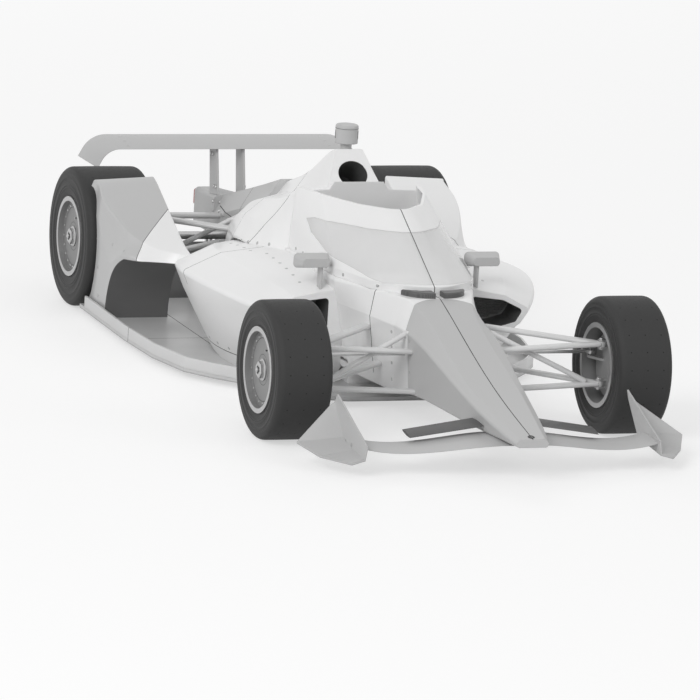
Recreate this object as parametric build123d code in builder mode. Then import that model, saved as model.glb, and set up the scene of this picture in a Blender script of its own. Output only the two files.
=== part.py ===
"""Open wheel racing car with a wraparound screen: one solid or pair of solids per piece.

Frame: X forward, Y to the car's left, Z up, origin on the ground under the middle of the
overall length.  All sizes in millimetres.
"""
import os

from build123d import *

os.makedirs("parts", exist_ok=True)

# Overall car
overall_length = 4900
overall_height = 1177
nose_tip_ahead = 1050
rear_axle_ahead = -3000
tail_ahead = -3850
stretch = overall_length / (nose_tip_ahead - tail_ahead)
front_axle_x = overall_length / 2 - nose_tip_ahead * stretch
rear_axle_x = front_axle_x + rear_axle_ahead * stretch
tail_x = -overall_length / 2

# Wheels and tyres
front_track = 1694
rear_track = 1615
front_tyre_diameter = 655
front_tyre_width = 270
rear_tyre_diameter = 711
rear_tyre_width = 370
rim_seat_radius = 191
rim_wall = 12
rim_flange_height = 12
rim_flange_width = 12
bead_inset = 14
bead_clearance = 0.2
flange_clearance = 0.4
tyre_shoulder = 34
tyre_shoulder_knee = 10
sidewall_height = 45
wheel_disc_recess = 30
wheel_disc_thickness = 12
hub_radius = 52
hub_depth = 66
spindle_radius = 32
spindle_clearance = 0.1
wheel_nut_radius = 34
wheel_nut_height = 20

# Steering
kingpin_inset = 112
kingpin_radius = 8
kingpin_clearance = 0.15
ball_eye_radius = 18
ball_eye_height = 26
clevis_gap = 0.3
clevis_overlap = 5
clevis_thickness = 8
upper_ball_z = 430
lower_ball_z = 238
upright_web_inset = 30
upright_web_thickness = 24
upright_web_length = 90
brake_drum_radius = 158
brake_drum_thickness = 11
steering_arm_length = 130
steering_arm_width = 26
steering_arm_thickness = 12
track_rod_z = 366
arm_pin_x = front_axle_x - steering_arm_length
track_rod_radius = 9
track_rod_bore_clearance = 0.4
rod_eye_radius = 25
rod_eye_bore = 16
rod_eye_height = 14
rod_pin_radius = 6
steering_wheel_ahead = -900
steering_wheel_z = 530
steering_wheel_tilt = 16
steering_wheel_width = 270
steering_wheel_height = 150
steering_wheel_thickness = 24
column_radius = 18
column_clearance = 0.1

# Body
floor_bottom_z = 30
floor_thickness = 20
floor_top_z = floor_bottom_z + floor_thickness
bulkhead_ahead = -1650
cockpit_front_ahead = -750
nose_joint_ahead = -90
nose_tongue_ahead = -250
nose_tongue_radius = 235
nose_tongue_z = 480
tub_keel_half_width = 200
screen_thickness = 14
screen_rear_ahead = -1460
screen_base_z = 560
screen_rim_z = 640
screen_top_z = 912
engine_half_width = 170
engine_top_z = 500
gearbox_front_behind = -600
camera_pod_radius = 57
camera_pod_height = 92
camera_stem_radius = 28
camera_pod_ahead = -1680
arm_chord = 62
arm_thickness = 25
rod_diameter = 26
tow_bore_radius = 20
tow_eye_thickness = 16


def nose_x(ahead):
    """X of a station drawn this far ahead of the front axle."""
    return front_axle_x + ahead * stretch


def tail_station(behind):
    """X of a station drawn this far behind the rear axle."""
    return rear_axle_x - behind * stretch


def cross_plane(x):
    """Plane across the car at x, local x to the car's left and local y up."""
    return Plane(origin=(x, 0, 0), x_dir=(0, 1, 0), z_dir=(1, 0, 0))


def side_plane(y):
    """Plane along the car at y, local x forward and local y up, normal to the right."""
    return Plane(origin=(0, y, 0), x_dir=(1, 0, 0), z_dir=(0, -1, 0))


def mirrored_outline(half):
    """Closed outline from the left half of it, bottom first."""
    return half + [(-y, z) for y, z in reversed(half)]


def plan_outline(half):
    """Closed outline in plan from the left half of it, given as X and half width."""
    return half + [(x, -y) for x, y in reversed(half)]


def strut_plane(start, end):
    """Plane at the start of a strut, normal along it and local x as near fore-aft as can be."""
    along = (Vector(*end) - Vector(*start)).normalized()
    fore = Vector(1, 0, 0) - along * along.X
    return Plane(origin=start, x_dir=fore.normalized(), z_dir=along)


def strut_length(start, end):
    """Distance between the two ends of a strut."""
    return (Vector(*end) - Vector(*start)).length


# Forebody: the shape that the survival cell and the nose cone share
forebody_sections = [
    # ahead of axle, belly half width, belly z, crease half width, crease z, deck half width, deck z
    (1050, 70, 184, 82, 202, 64, 222),
    (640, 128, 184, 148, 290, 108, 312),
    (280, 168, 190, 182, 388, 120, 418),
    (-70, 190, 180, 212, 470, 125, 542),
    (-250, 200, 150, 222, 474, 160, 602),
    (-750, 250, 140, 325, 480, 362, 604),
]
forebody_edge_radius = 14

nose_rows = forebody_sections[:-1]
footbox_rows = forebody_sections[-2:]

with BuildPart() as forebody:
    for rows in (nose_rows, footbox_rows):
        for ahead, belly_y, belly_z, crease_y, crease_z, deck_y, deck_z in rows:
            half = [(belly_y, belly_z), (crease_y, crease_z), (deck_y, deck_z)]
            with BuildSketch(cross_plane(nose_x(ahead))) as section:
                with BuildLine():
                    Polyline(*mirrored_outline(half), close=True)
                make_face()
                fillet(section.vertices(), forebody_edge_radius)
        loft()

nose_region_margin = 100
nose_region_span = 800
nose_tongue_rise = 300

with BuildPart() as nose_region:
    joint_x = nose_x(nose_joint_ahead)
    tip_x = nose_x(nose_tip_ahead + nose_region_margin)
    with BuildSketch(Plane.XY):
        with Locations(((joint_x + tip_x) / 2, 0)):
            Rectangle(tip_x - joint_x, nose_region_span)
    extrude(amount=nose_region_span)
    with BuildSketch(Plane.XY.offset(nose_tongue_z)):
        with Locations((nose_x(nose_tongue_ahead) + nose_tongue_radius, 0)):
            Circle(nose_tongue_radius)
    extrude(amount=nose_tongue_rise)

# Nose cone, bolted to the front of the survival cell
with BuildPart() as nose_cone:
    add(forebody.part)
    add(nose_region.part, mode=Mode.INTERSECT)

# Survival cell: footbox, cockpit and the keel that stands on the floor
cockpit_section = forebody_sections[-1]
leg_tunnel = [
    # ahead of axle, half width, bottom z, top z
    (-290, 120, 205, 440),
    (-760, 262, 180, 545),
]
cockpit_half_width = 262
cockpit_floor_z = 180
cockpit_ceiling_z = 545
keel_front_ahead = -900
cockpit_rear_ahead = -1560
opening_half_width = 236
opening_front_ahead = -830
opening_rear_ahead = -1430
opening_corner = 90
opening_cut_z = 500
opening_cut_height = 200
keel_overlap = 10
rod_bore_reach = 500

with BuildPart() as cell_shape:
    add(forebody.part)
    add(nose_region.part, mode=Mode.SUBTRACT)
    _, belly_y, belly_z, crease_y, crease_z, deck_y, deck_z = cockpit_section
    cell_half = [(belly_y, belly_z), (crease_y, crease_z), (deck_y, deck_z)]
    with BuildSketch(cross_plane(nose_x(bulkhead_ahead))) as cell_section:
        with BuildLine():
            Polyline(*mirrored_outline(cell_half), close=True)
        make_face()
        fillet(cell_section.vertices(), forebody_edge_radius)
    extrude(amount=cockpit_front_ahead - bulkhead_ahead)
    with BuildSketch(Plane.XY.offset(floor_top_z)):
        with Locations((nose_x((bulkhead_ahead + keel_front_ahead) / 2), 0)):
            Rectangle(keel_front_ahead - bulkhead_ahead, 2 * tub_keel_half_width)
    extrude(amount=belly_z - floor_top_z + keel_overlap)

with BuildPart() as monocoque:
    add(cell_shape.part)
    for ahead, half_width, bottom_z, top_z in leg_tunnel:
        with BuildSketch(cross_plane(nose_x(ahead))):
            with Locations((0, (bottom_z + top_z) / 2)):
                Rectangle(2 * half_width, top_z - bottom_z)
    loft(mode=Mode.SUBTRACT)
    with BuildSketch(cross_plane(nose_x(cockpit_rear_ahead))):
        with Locations((0, (cockpit_floor_z + cockpit_ceiling_z) / 2)):
            Rectangle(2 * cockpit_half_width, cockpit_ceiling_z - cockpit_floor_z)
    extrude(amount=cockpit_front_ahead - cockpit_rear_ahead, mode=Mode.SUBTRACT)
    with BuildSketch(Plane.XY.offset(opening_cut_z)) as opening:
        with Locations((nose_x((opening_front_ahead + opening_rear_ahead) / 2), 0)):
            Rectangle(opening_front_ahead - opening_rear_ahead, 2 * opening_half_width)
        fillet(opening.vertices(), opening_corner)
    extrude(amount=opening_cut_height, mode=Mode.SUBTRACT)
    with BuildSketch(side_plane(rod_bore_reach)):
        with Locations((arm_pin_x, track_rod_z)):
            Circle(track_rod_radius + track_rod_bore_clearance)
    extrude(amount=2 * rod_bore_reach, mode=Mode.SUBTRACT)

# Wraparound screen: upright rim, then walls that lean in to the top opening
rim_outline = [(0, 345), (660, 342), (990, 252), (1130, 70)]
top_outline = [(0, 322), (210, 270), (480, 160), (605, 45)]
rim_corner = 190
top_corner = 90
glass_outline = [
    # ahead of the screen's rear end, z
    (1300, 660),
    (1010, 640),
    (780, 664),
    (500, 688),
    (260, 735),
    (165, 785),
    (255, 806),
    (593, 827),
    (750, 831),
    (1300, 840),
]


def screen_outline(half, rear_reach):
    """Outline of the screen in plan, run back past its rear end by rear_reach."""
    rear_x = nose_x(screen_rear_ahead)
    left = [(rear_x + ahead, y) for ahead, y in half]
    left[0] = (rear_x - rear_reach, left[0][1])
    return plan_outline(left)


with BuildPart() as screen_wall:
    for inset, reach, mode in ((0, 0, Mode.ADD), (screen_thickness, 60, Mode.SUBTRACT)):
        rim_rows = ((screen_base_z, rim_outline, rim_corner), (screen_rim_z, rim_outline, rim_corner))
        lean_rows = ((screen_rim_z, rim_outline, rim_corner), (screen_top_z, top_outline, top_corner))
        for rows in (rim_rows, lean_rows):
            for z, outline, corner in rows:
                with BuildSketch(Plane.XY.offset(z)) as level:
                    with BuildLine():
                        Polyline(*screen_outline(outline, reach), close=True)
                    make_face()
                    fillet(level.vertices().sort_by(Axis.X)[2:], corner)
                    if inset:
                        offset(amount=-inset, mode=Mode.REPLACE)
            loft(mode=mode)

glass_region_half = 600

with BuildPart() as glass_region:
    with BuildSketch(side_plane(glass_region_half)):
        with BuildLine():
            Polyline(*[(nose_x(screen_rear_ahead) + a, z) for a, z in glass_outline], close=True)
        make_face()
    extrude(amount=2 * glass_region_half)

with BuildPart() as screen_glass:
    add(screen_wall.part)
    add(glass_region.part, mode=Mode.INTERSECT)

with BuildPart() as screen_frame:
    add(screen_wall.part)
    add(glass_region.part, mode=Mode.SUBTRACT)
    add(forebody.part, mode=Mode.SUBTRACT)
    add(cell_shape.part, mode=Mode.SUBTRACT)

# Dark outlets at the foot of the screen
vent_length = 66
vent_inner_y = 22
vent_bend_y = 78
vent_tip_y = 160
vent_tip_sweep = 38
vent_foot_z = 580
vent_top_z = 628
vent_lip_radius = 9

with BuildPart() as screen_vents:
    vent_front_x = nose_x(nose_tongue_ahead)
    vent_rear_x = vent_front_x - vent_length
    tip = (vent_rear_x - vent_tip_sweep, vent_tip_y)
    inner_front = (vent_front_x, vent_inner_y)
    with BuildSketch(Plane.XY.offset(vent_foot_z)):
        with BuildLine():
            ThreePointArc(inner_front, (vent_front_x - vent_length / 3, vent_bend_y + vent_inner_y), tip)
            Polyline(tip, (vent_rear_x, vent_bend_y), (vent_rear_x, vent_inner_y), inner_front)
        make_face()
    extrude(amount=vent_top_z - vent_foot_z)
    top_edges = screen_vents.edges().group_by(Axis.Z)[-1]
    fillet(top_edges.filter_by(GeomType.CIRCLE), vent_lip_radius)
    mirror(about=Plane.XZ)
    add(forebody.part, mode=Mode.SUBTRACT)
    add(screen_wall.part, mode=Mode.SUBTRACT)

# Gearbox with its tall spine, which stands out of the tail of the engine cover
gearbox_sections = [
    # behind rear axle, half width, bottom z, top z
    (gearbox_front_behind, 152, 180, 764),
    (-200, 130, 168, 648),
    (350, 104, 250, 500),
]

with BuildPart() as gearbox:
    for behind, half_width, bottom_z, top_z in gearbox_sections:
        half = [
            (0.75 * half_width, bottom_z),
            (half_width, bottom_z + 60),
            (half_width, top_z - 110),
            (0.5 * half_width, top_z),
        ]
        with BuildSketch(cross_plane(tail_station(behind))):
            with BuildLine():
                Polyline(*mirrored_outline(half), close=True)
            make_face()
    loft()

# Engine cover: roll hoop fairing with the airbox inlet, spine and skirts over the engine
cover_sections = [
    # ahead of axle, then y and z of the sill, flank, shoulder, waist and crest
    (-1460, (350, 570), (342, 720), (321, 886), (150, 892), (78, 1020)),
    (-1662, (450, 560), (400, 685), (318, 818), (132, 860), (66, 1056)),
    (-2179, (402, 500), (345, 632), (258, 706), (108, 742), (44, 826)),
    (-2400, (340, 425), (310, 570), (236, 642), (95, 684), (40, 752)),
    (-2640, (282, 350), (262, 440), (208, 498), (95, 530), (40, 560)),
]
cover_edge_radius = 12
cover_rear_ahead = cover_sections[-1][0]
skirt_bottom_z = 300
skirt_rows = [
    # ahead of axle, outer half width, outer top z
    (bulkhead_ahead, 332, 620),
    (cover_rear_ahead, 250, 430),
]
bay_rows = [
    # ahead of axle, half width, top z of the space round the engine
    (bulkhead_ahead, 310, 600),
    (-2400, 250, 565),
    (cover_rear_ahead, 228, 450),
]
bay_bottom_z = skirt_bottom_z - 20
inlet_foot_ahead = -1514
inlet_foot_z = 894
inlet_head_ahead = -1594
inlet_head_z = 1009
inlet_width = 150
inlet_face_cut = 400
inlet_depth = 190
inlet_face_width = 600
inlet_face_rise = 200

with BuildPart() as cover_shape:
    for ahead, *half in cover_sections:
        with BuildSketch(cross_plane(nose_x(ahead))) as section:
            with BuildLine():
                Polyline(*mirrored_outline(half), close=True)
            make_face()
            fillet(section.vertices(), cover_edge_radius)
    loft()

with BuildPart() as cover_outer:
    add(cover_shape.part)
    for ahead, half_width, top_z in skirt_rows:
        with BuildSketch(cross_plane(nose_x(ahead))):
            with Locations((0, (skirt_bottom_z + top_z) / 2)):
                Rectangle(2 * half_width, top_z - skirt_bottom_z)
    loft()

with BuildPart() as engine_cover:
    add(cover_outer.part)
    for ahead, half_width, top_z in bay_rows:
        with BuildSketch(cross_plane(nose_x(ahead))):
            with Locations((0, (bay_bottom_z + top_z) / 2)):
                Rectangle(2 * half_width, top_z - bay_bottom_z)
    loft(ruled=True, mode=Mode.SUBTRACT)
    inlet_foot = Vector(nose_x(inlet_foot_ahead), 0, inlet_foot_z)
    inlet_head = Vector(nose_x(inlet_head_ahead), 0, inlet_head_z)
    inlet_up = (inlet_head - inlet_foot).normalized()
    inlet_half_height = (inlet_head - inlet_foot).length / 2
    inlet_normal = Vector(0, 1, 0).cross(inlet_up)
    inlet_plane = Plane(origin=(inlet_foot + inlet_head) * 0.5, x_dir=(0, 1, 0), z_dir=inlet_normal)
    with BuildSketch(inlet_plane):
        with Locations((0, (inlet_face_rise - inlet_half_height) / 2)):
            Rectangle(inlet_face_width, inlet_face_rise + inlet_half_height)
    extrude(amount=inlet_face_cut, mode=Mode.SUBTRACT)
    with BuildSketch(inlet_plane):
        Ellipse(inlet_width / 2, inlet_half_height)
    extrude(amount=-inlet_depth, mode=Mode.SUBTRACT)
    add(cell_shape.part, mode=Mode.SUBTRACT)
    add(gearbox.part, mode=Mode.SUBTRACT)

# Camera pod on its stem above the airbox
camera_stem_foot_z = 1020
camera_cap_radius = 10

with BuildPart() as camera_pod:
    pod_bottom_z = overall_height - camera_pod_height
    with BuildSketch(Plane.XY.offset(pod_bottom_z)):
        with Locations((nose_x(camera_pod_ahead), 0)):
            Circle(camera_pod_radius)
    extrude(amount=camera_pod_height)
    fillet(camera_pod.edges().sort_by(Axis.Z)[-1], camera_cap_radius)
    with BuildSketch(Plane.XY.offset(camera_stem_foot_z)):
        with Locations((nose_x(camera_pod_ahead), 0)):
            Circle(camera_stem_radius)
    extrude(amount=pod_bottom_z - camera_stem_foot_z)
    add(cover_outer.part, mode=Mode.SUBTRACT)

# Engine, one plain block between the bulkhead and the gearbox
gearbox_front_x = tail_station(gearbox_front_behind)
engine_length = nose_x(bulkhead_ahead) - gearbox_front_x

with BuildPart() as engine_block:
    with BuildSketch(Plane.XY.offset(floor_top_z)):
        with Locations((gearbox_front_x + engine_length / 2, 0)):
            Rectangle(engine_length, 2 * engine_half_width)
    extrude(amount=engine_top_z - floor_top_z)

# Crash attenuator behind the gearbox, with the rear light and the tow eye
attenuator_sections = [
    # behind rear axle, half width, bottom z, top z
    (350, 100, 282, 494),
    (790, 60, 250, 456),
]

with BuildPart() as attenuator:
    for behind, half_width, bottom_z, top_z in attenuator_sections:
        with BuildSketch(cross_plane(tail_station(behind))):
            with Locations((0, (bottom_z + top_z) / 2)):
                RectangleRounded(2 * half_width, top_z - bottom_z, 22)
    loft()

rear_light_width = 92
rear_light_height = 90
rear_light_z = 392
attenuator_end_x = tail_station(attenuator_sections[-1][0])

with BuildPart() as rear_light:
    with BuildSketch(cross_plane(tail_x)):
        with Locations((0, rear_light_z)):
            RectangleRounded(rear_light_width, rear_light_height, 16)
    extrude(amount=attenuator_end_x - tail_x)

tow_eye_behind = 700
tow_eye_z = 196
tow_eye_radius = 42

with BuildPart() as tow_eye:
    with BuildSketch(side_plane(tow_eye_thickness / 2)):
        with Locations((tail_station(tow_eye_behind), tow_eye_z)):
            Circle(tow_eye_radius)
        with Locations((tail_station(tow_eye_behind), tow_eye_z + 40)):
            Rectangle(2 * tow_eye_radius, 80)
        with Locations((tail_station(tow_eye_behind), tow_eye_z)):
            Circle(tow_bore_radius, mode=Mode.SUBTRACT)
    extrude(amount=tow_eye_thickness)
    add(attenuator.part, mode=Mode.SUBTRACT)

# Exhaust pipes from the back of the engine, out under the tail of the engine cover
exhaust_radius = 34
exhaust_wall = 4
exhaust_y = 190
exhaust_z = 400
exhaust_length = 285

with BuildPart() as exhaust_pipes:
    with BuildSketch(cross_plane(gearbox_front_x)):
        with Locations((exhaust_y, exhaust_z), (-exhaust_y, exhaust_z)):
            Circle(exhaust_radius)
            Circle(exhaust_radius - exhaust_wall, mode=Mode.SUBTRACT)
    extrude(amount=-exhaust_length)

# Sidepods with their radiator inlets
sidepod_inner_y = 240
sidepod_sections = [
    # ahead of axle, bottom z, foot y, turn y, turn z, shoulder y, shoulder z, brow y, brow z, root z
    (-780, 300, 520, 625, 362, 672, 432, 540, 502, 556),
    (-1029, 50, 540, 735, 370, 798, 468, 610, 548, 585),
    (-1588, 50, 640, 815, 370, 867, 486, 660, 565, 596),
    (-2100, 50, 480, 610, 300, 668, 415, 500, 500, 540),
    (-2550, 50, 290, 345, 250, 355, 330, 300, 395, 425),
]
sidepod_edge_radius = 20
inlet_lip = 24
inlet_pocket_depth = 230
inlet_root_y = 365
inlet_sill = 45
inlet_corner = 18
radiator_thickness = 40
floor_trim = (4000, 2000, 200)

with BuildPart() as sidepod_left:
    for row in sidepod_sections:
        ahead, bottom_z, foot_y, turn_y, turn_z, shoulder_y, shoulder_z, brow_y, brow_z, root_z = row
        outline = [
            (sidepod_inner_y, bottom_z),
            (foot_y, bottom_z),
            (turn_y, turn_z),
            (shoulder_y, shoulder_z),
            (brow_y, brow_z),
            (sidepod_inner_y, root_z),
        ]
        with BuildSketch(cross_plane(nose_x(ahead))) as section:
            with BuildLine():
                Polyline(*outline, close=True)
            make_face()
            fillet(section.vertices().sort_by(Axis.X)[2:], sidepod_edge_radius)
    loft()
    with BuildSketch(Plane.XY.offset(floor_top_z)):
        Rectangle(floor_trim[0], floor_trim[1])
    extrude(amount=-floor_trim[2], mode=Mode.SUBTRACT)
    add(cell_shape.part, mode=Mode.SUBTRACT)
    add(cover_outer.part, mode=Mode.SUBTRACT)
    front_row = sidepod_sections[0]
    ahead, bottom_z, foot_y, turn_y, turn_z, shoulder_y, shoulder_z, brow_y, brow_z, root_z = front_row
    inlet_outline = [
        (inlet_root_y, bottom_z + inlet_sill + 5),
        (foot_y - 10, bottom_z + inlet_sill),
        (turn_y - inlet_lip, turn_z + 8),
        (shoulder_y - inlet_lip - 12, shoulder_z - 4),
        (brow_y - 10, brow_z - inlet_lip),
        (inlet_root_y, brow_z - 4),
    ]
    with BuildSketch(cross_plane(nose_x(sidepod_sections[0][0]))) as mouth:
        with BuildLine():
            Polyline(*inlet_outline, close=True)
        make_face()
        fillet(mouth.vertices(), inlet_corner)
    extrude(amount=-inlet_pocket_depth, mode=Mode.SUBTRACT)

with BuildPart() as sidepod_right:
    add(sidepod_left.part)
    mirror(about=Plane.XZ, mode=Mode.REPLACE)

with BuildPart() as radiators:
    with BuildSketch(cross_plane(nose_x(sidepod_sections[0][0] - inlet_pocket_depth))) as core:
        with BuildLine():
            Polyline(*inlet_outline, close=True)
        make_face()
        fillet(core.vertices(), inlet_corner)
    extrude(amount=radiator_thickness)
    mirror(about=Plane.XZ)

# Floor, its rolled edges and the diffuser
floor_end_behind = -210
floor_outline = [
    # X, half width
    (nose_x(-595), 300),
    (nose_x(-640), 420),
    (nose_x(-930), 640),
    (nose_x(-1130), 810),
    (nose_x(-1280), 908),
    (nose_x(-1600), 970),
    (nose_x(-2012), 986),
    (tail_station(floor_end_behind), 976),
]
floor_waist_y = 596
diffuser_start_behind = -100
diffuser_end_behind = 550
diffuser_rise = 160
diffuser_half_width = 530
strake_thickness = 8
strake_y = 170
fence_thickness = 12
fence_height = 56
fence_front_ahead = -950
fence_rear_behind = -290

with BuildPart() as floor_plate:
    waist = [(tail_station(behind), floor_waist_y) for behind in (floor_end_behind, diffuser_start_behind)]
    half = floor_outline + waist
    with BuildSketch(Plane.XY.offset(floor_bottom_z)):
        with BuildLine():
            Polyline(*plan_outline(half), close=True)
        make_face()
    extrude(amount=floor_thickness)

with BuildPart() as floor_fences:
    fence_front_x = nose_x(fence_front_ahead)
    with BuildSketch(Plane.XY.offset(floor_top_z)):
        with BuildLine():
            Polyline(*plan_outline(floor_outline), close=True)
        make_face()
        with BuildLine():
            Polyline(*plan_outline([(x, y - fence_thickness) for x, y in floor_outline]), close=True)
        make_face(mode=Mode.SUBTRACT)
        with Locations((fence_front_x + 500, 0), (tail_station(fence_rear_behind) - 500, 0)):
            Rectangle(1000, 2400, mode=Mode.SUBTRACT)
    extrude(amount=fence_height)

diffuser_start_x = tail_station(diffuser_start_behind)
diffuser_end_x = tail_station(diffuser_end_behind)

with BuildPart() as diffuser:
    with BuildSketch(side_plane(diffuser_half_width)):
        with BuildLine():
            Polyline(
                (diffuser_start_x, floor_bottom_z),
                (diffuser_start_x, floor_top_z),
                (diffuser_end_x, floor_top_z + diffuser_rise),
                (diffuser_end_x, floor_bottom_z + diffuser_rise),
                close=True,
            )
        make_face()
    extrude(amount=2 * diffuser_half_width)
    outer_y = diffuser_half_width
    for y in (strake_thickness - outer_y, -strake_y, strake_y + strake_thickness, outer_y):
        with BuildSketch(side_plane(y)):
            with BuildLine():
                Polyline(
                    (diffuser_start_x - 60, floor_bottom_z + 16),
                    (diffuser_end_x, floor_bottom_z + diffuser_rise + 4),
                    (diffuser_end_x, floor_bottom_z + 50),
                    close=True,
                )
            make_face()
        extrude(amount=strake_thickness)

# Fairings ahead of the rear wheels, with an arch for the air under the front of each
pod_tyre_gap = 22
pod_inner_y = 622
pod_sections = [
    # behind rear axle, inner top z, crease y, crease z, outer edge y, outer edge z
    (-225, 706, 940, 690, 955, 650),
    (-360, 652, 942, 648, 955, 520),
    (-490, 592, 936, 592, 955, 400),
    (-600, 542, 908, 540, 955, 340),
    (-700, 498, 858, 488, 944, 388),
    (-800, 462, 752, 446, 870, 392),
    (-900, 442, 650, 428, 712, 392),
]
pod_edge_radius = 10
pod_cut_y = 1200
pod_cut_width = 800
arch_overrun = 50
arch_foot_behind = -560
arch_knee_behind = -625
arch_knee_z = 270
arch_head_behind = -740
arch_head_z = 386

with BuildPart() as wheel_pod_left:
    for behind, top_z, crease_y, crease_z, edge_y, edge_z in pod_sections:
        with BuildSketch(cross_plane(tail_station(behind))) as section:
            with BuildLine():
                Polyline(
                    (pod_inner_y, floor_top_z),
                    (edge_y, floor_top_z),
                    (edge_y, edge_z),
                    (crease_y, crease_z),
                    (pod_inner_y, top_z),
                    close=True,
                )
            make_face()
            fillet(section.vertices().sort_by(Axis.Y)[2:], pod_edge_radius)
    loft()
    arch_front_x = tail_station(pod_sections[-1][0]) + arch_overrun
    with BuildSketch(side_plane(pod_cut_y)):
        with BuildLine():
            foot = (tail_station(arch_foot_behind), floor_top_z)
            head = (tail_station(arch_head_behind), arch_head_z)
            ThreePointArc(foot, (tail_station(arch_knee_behind), arch_knee_z), head)
            Polyline(head, (arch_front_x, arch_head_z), (arch_front_x, floor_top_z), foot)
        make_face()
    extrude(amount=pod_cut_width, mode=Mode.SUBTRACT)
    with BuildSketch(side_plane(pod_cut_y)):
        with Locations((rear_axle_x, rear_tyre_diameter / 2)):
            Circle(rear_tyre_diameter / 2 + pod_tyre_gap)
    extrude(amount=pod_cut_width, mode=Mode.SUBTRACT)
    add(sidepod_left.part, mode=Mode.SUBTRACT)

with BuildPart() as wheel_pod_right:
    add(wheel_pod_left.part)
    mirror(about=Plane.XZ, mode=Mode.REPLACE)

# Front wing
front_wing_sections = [
    # half span, leading edge ahead of axle, chord, mid z, thickness
    (0, 940, 250, 166, 22),
    (150, 915, 240, 160, 24),
    (335, 867, 215, 132, 24),
    (722, 812, 190, 134, 20),
]
flap_sections = [
    # half span, leading edge ahead of axle, chord, mid z, thickness
    (120, 745, 120, 216, 12),
    (465, 700, 110, 156, 12),
]
endplate_sections = [
    # ahead of axle, top z, knee z, foot y, foot z
    (835, 152, 92, 790, 74),
    (680, 202, 104, 890, 76),
    (535, 252, 126, 955, 110),
    (400, 298, 262, 752, 250),
]
endplate_top_y = 724
endplate_knee_y = 734
endplate_thickness = 9

with BuildPart() as front_wing:
    for span, lead, chord, mid_z, thickness in front_wing_sections:
        with BuildSketch(side_plane(span)) as section:
            with BuildLine():
                nose_point = (nose_x(lead), mid_z)
                tail_top = (nose_x(lead - chord), mid_z + 12)
                tail_low = (nose_x(lead - chord), mid_z + 7)
                ThreePointArc(nose_point, (nose_x(lead - 0.35 * chord), mid_z + 0.55 * thickness), tail_top)
                Line(tail_top, tail_low)
                ThreePointArc(tail_low, (nose_x(lead - 0.35 * chord), mid_z - 0.45 * thickness), nose_point)
            make_face()
    loft()
    mirror(about=Plane.XZ)
    add(nose_cone.part, mode=Mode.SUBTRACT)

with BuildPart() as wing_flaps:
    for span, lead, chord, mid_z, thickness in flap_sections:
        with BuildSketch(side_plane(span)) as section:
            with BuildLine():
                nose_point = (nose_x(lead), mid_z)
                tail_top = (nose_x(lead - chord), mid_z + 16)
                tail_low = (nose_x(lead - chord), mid_z + 12)
                ThreePointArc(nose_point, (nose_x(lead - 0.4 * chord), mid_z + thickness), tail_top)
                Line(tail_top, tail_low)
                ThreePointArc(tail_low, (nose_x(lead - 0.4 * chord), mid_z), nose_point)
            make_face()
    loft()
    mirror(about=Plane.XZ)
    add(nose_cone.part, mode=Mode.SUBTRACT)
    add(front_wing.part, mode=Mode.SUBTRACT)

with BuildPart() as wing_endplates:
    for ahead, top_z, knee_z, foot_y, foot_z in endplate_sections:
        with BuildSketch(cross_plane(nose_x(ahead))):
            with BuildLine():
                Polyline(
                    (endplate_top_y, top_z),
                    (endplate_knee_y, knee_z),
                    (foot_y, foot_z),
                    (foot_y, foot_z - endplate_thickness),
                    (endplate_knee_y - endplate_thickness, knee_z - endplate_thickness),
                    (endplate_top_y - endplate_thickness, top_z),
                    close=True,
                )
            make_face()
    loft(ruled=True)
    mirror(about=Plane.XZ)
    add(front_wing.part, mode=Mode.SUBTRACT)

# Rear wing: one plane with drooped tips on two pylons
rear_wing_lead_behind = 400
rear_wing_chord = 270
rear_wing_z = 728
rear_wing_flat_half = 606
rear_wing_droop_radius = 110
rear_wing_droop_angle = 62
rear_wing_tip = 45
pylon_y = 72
pylon_thickness = 12
pylon_chord = 110

rear_wing_crest_share = 0.35
rear_wing_crest = 20
rear_wing_rise = 30
rear_wing_trail_thickness = 5
rear_wing_belly = 8

with BuildPart() as rear_wing:
    with BuildLine(Plane.YZ.offset(tail_station(rear_wing_lead_behind))) as span_path:
        flat = Line((0, rear_wing_z), (rear_wing_flat_half, rear_wing_z))
        droop = JernArc(flat @ 1, flat % 1, rear_wing_droop_radius, -rear_wing_droop_angle)
        Line(droop @ 1, droop @ 1 + (droop % 1) * rear_wing_tip)
    with BuildSketch(side_plane(0)):
        with BuildLine():
            lead_x = tail_station(rear_wing_lead_behind)
            trail_x = lead_x - rear_wing_chord
            crest_x = lead_x - rear_wing_crest_share * rear_wing_chord
            lead = (lead_x, rear_wing_z)
            trail_top = (trail_x, rear_wing_z + rear_wing_rise)
            trail_bottom = (trail_x, rear_wing_z + rear_wing_rise - rear_wing_trail_thickness)
            ThreePointArc(lead, (crest_x, rear_wing_z + rear_wing_crest), trail_top)
            Line(trail_top, trail_bottom)
            ThreePointArc(trail_bottom, (crest_x, rear_wing_z - rear_wing_belly), lead)
        make_face()
    sweep(path=span_path.wire())
    mirror(about=Plane.XZ)

pylon_foot_behind = 352
pylon_foot_chord = 130
pylon_foot_z = 400
pylon_head_behind = 430
pylon_head_front = 4
pylon_head_rear = 8

with BuildPart() as wing_pylons:
    for y in (pylon_y, -pylon_y):
        with BuildSketch(side_plane(y + pylon_thickness / 2)):
            with BuildLine():
                Polyline(
                    (tail_station(pylon_foot_behind), pylon_foot_z),
                    (tail_station(pylon_foot_behind + pylon_foot_chord), pylon_foot_z),
                    (tail_station(pylon_head_behind + pylon_chord), rear_wing_z + pylon_head_rear),
                    (tail_station(pylon_head_behind), rear_wing_z + pylon_head_front),
                    close=True,
                )
            make_face()
        extrude(amount=pylon_thickness)
    add(rear_wing.part, mode=Mode.SUBTRACT)
    add(attenuator.part, mode=Mode.SUBTRACT)
    add(gearbox.part, mode=Mode.SUBTRACT)

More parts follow.
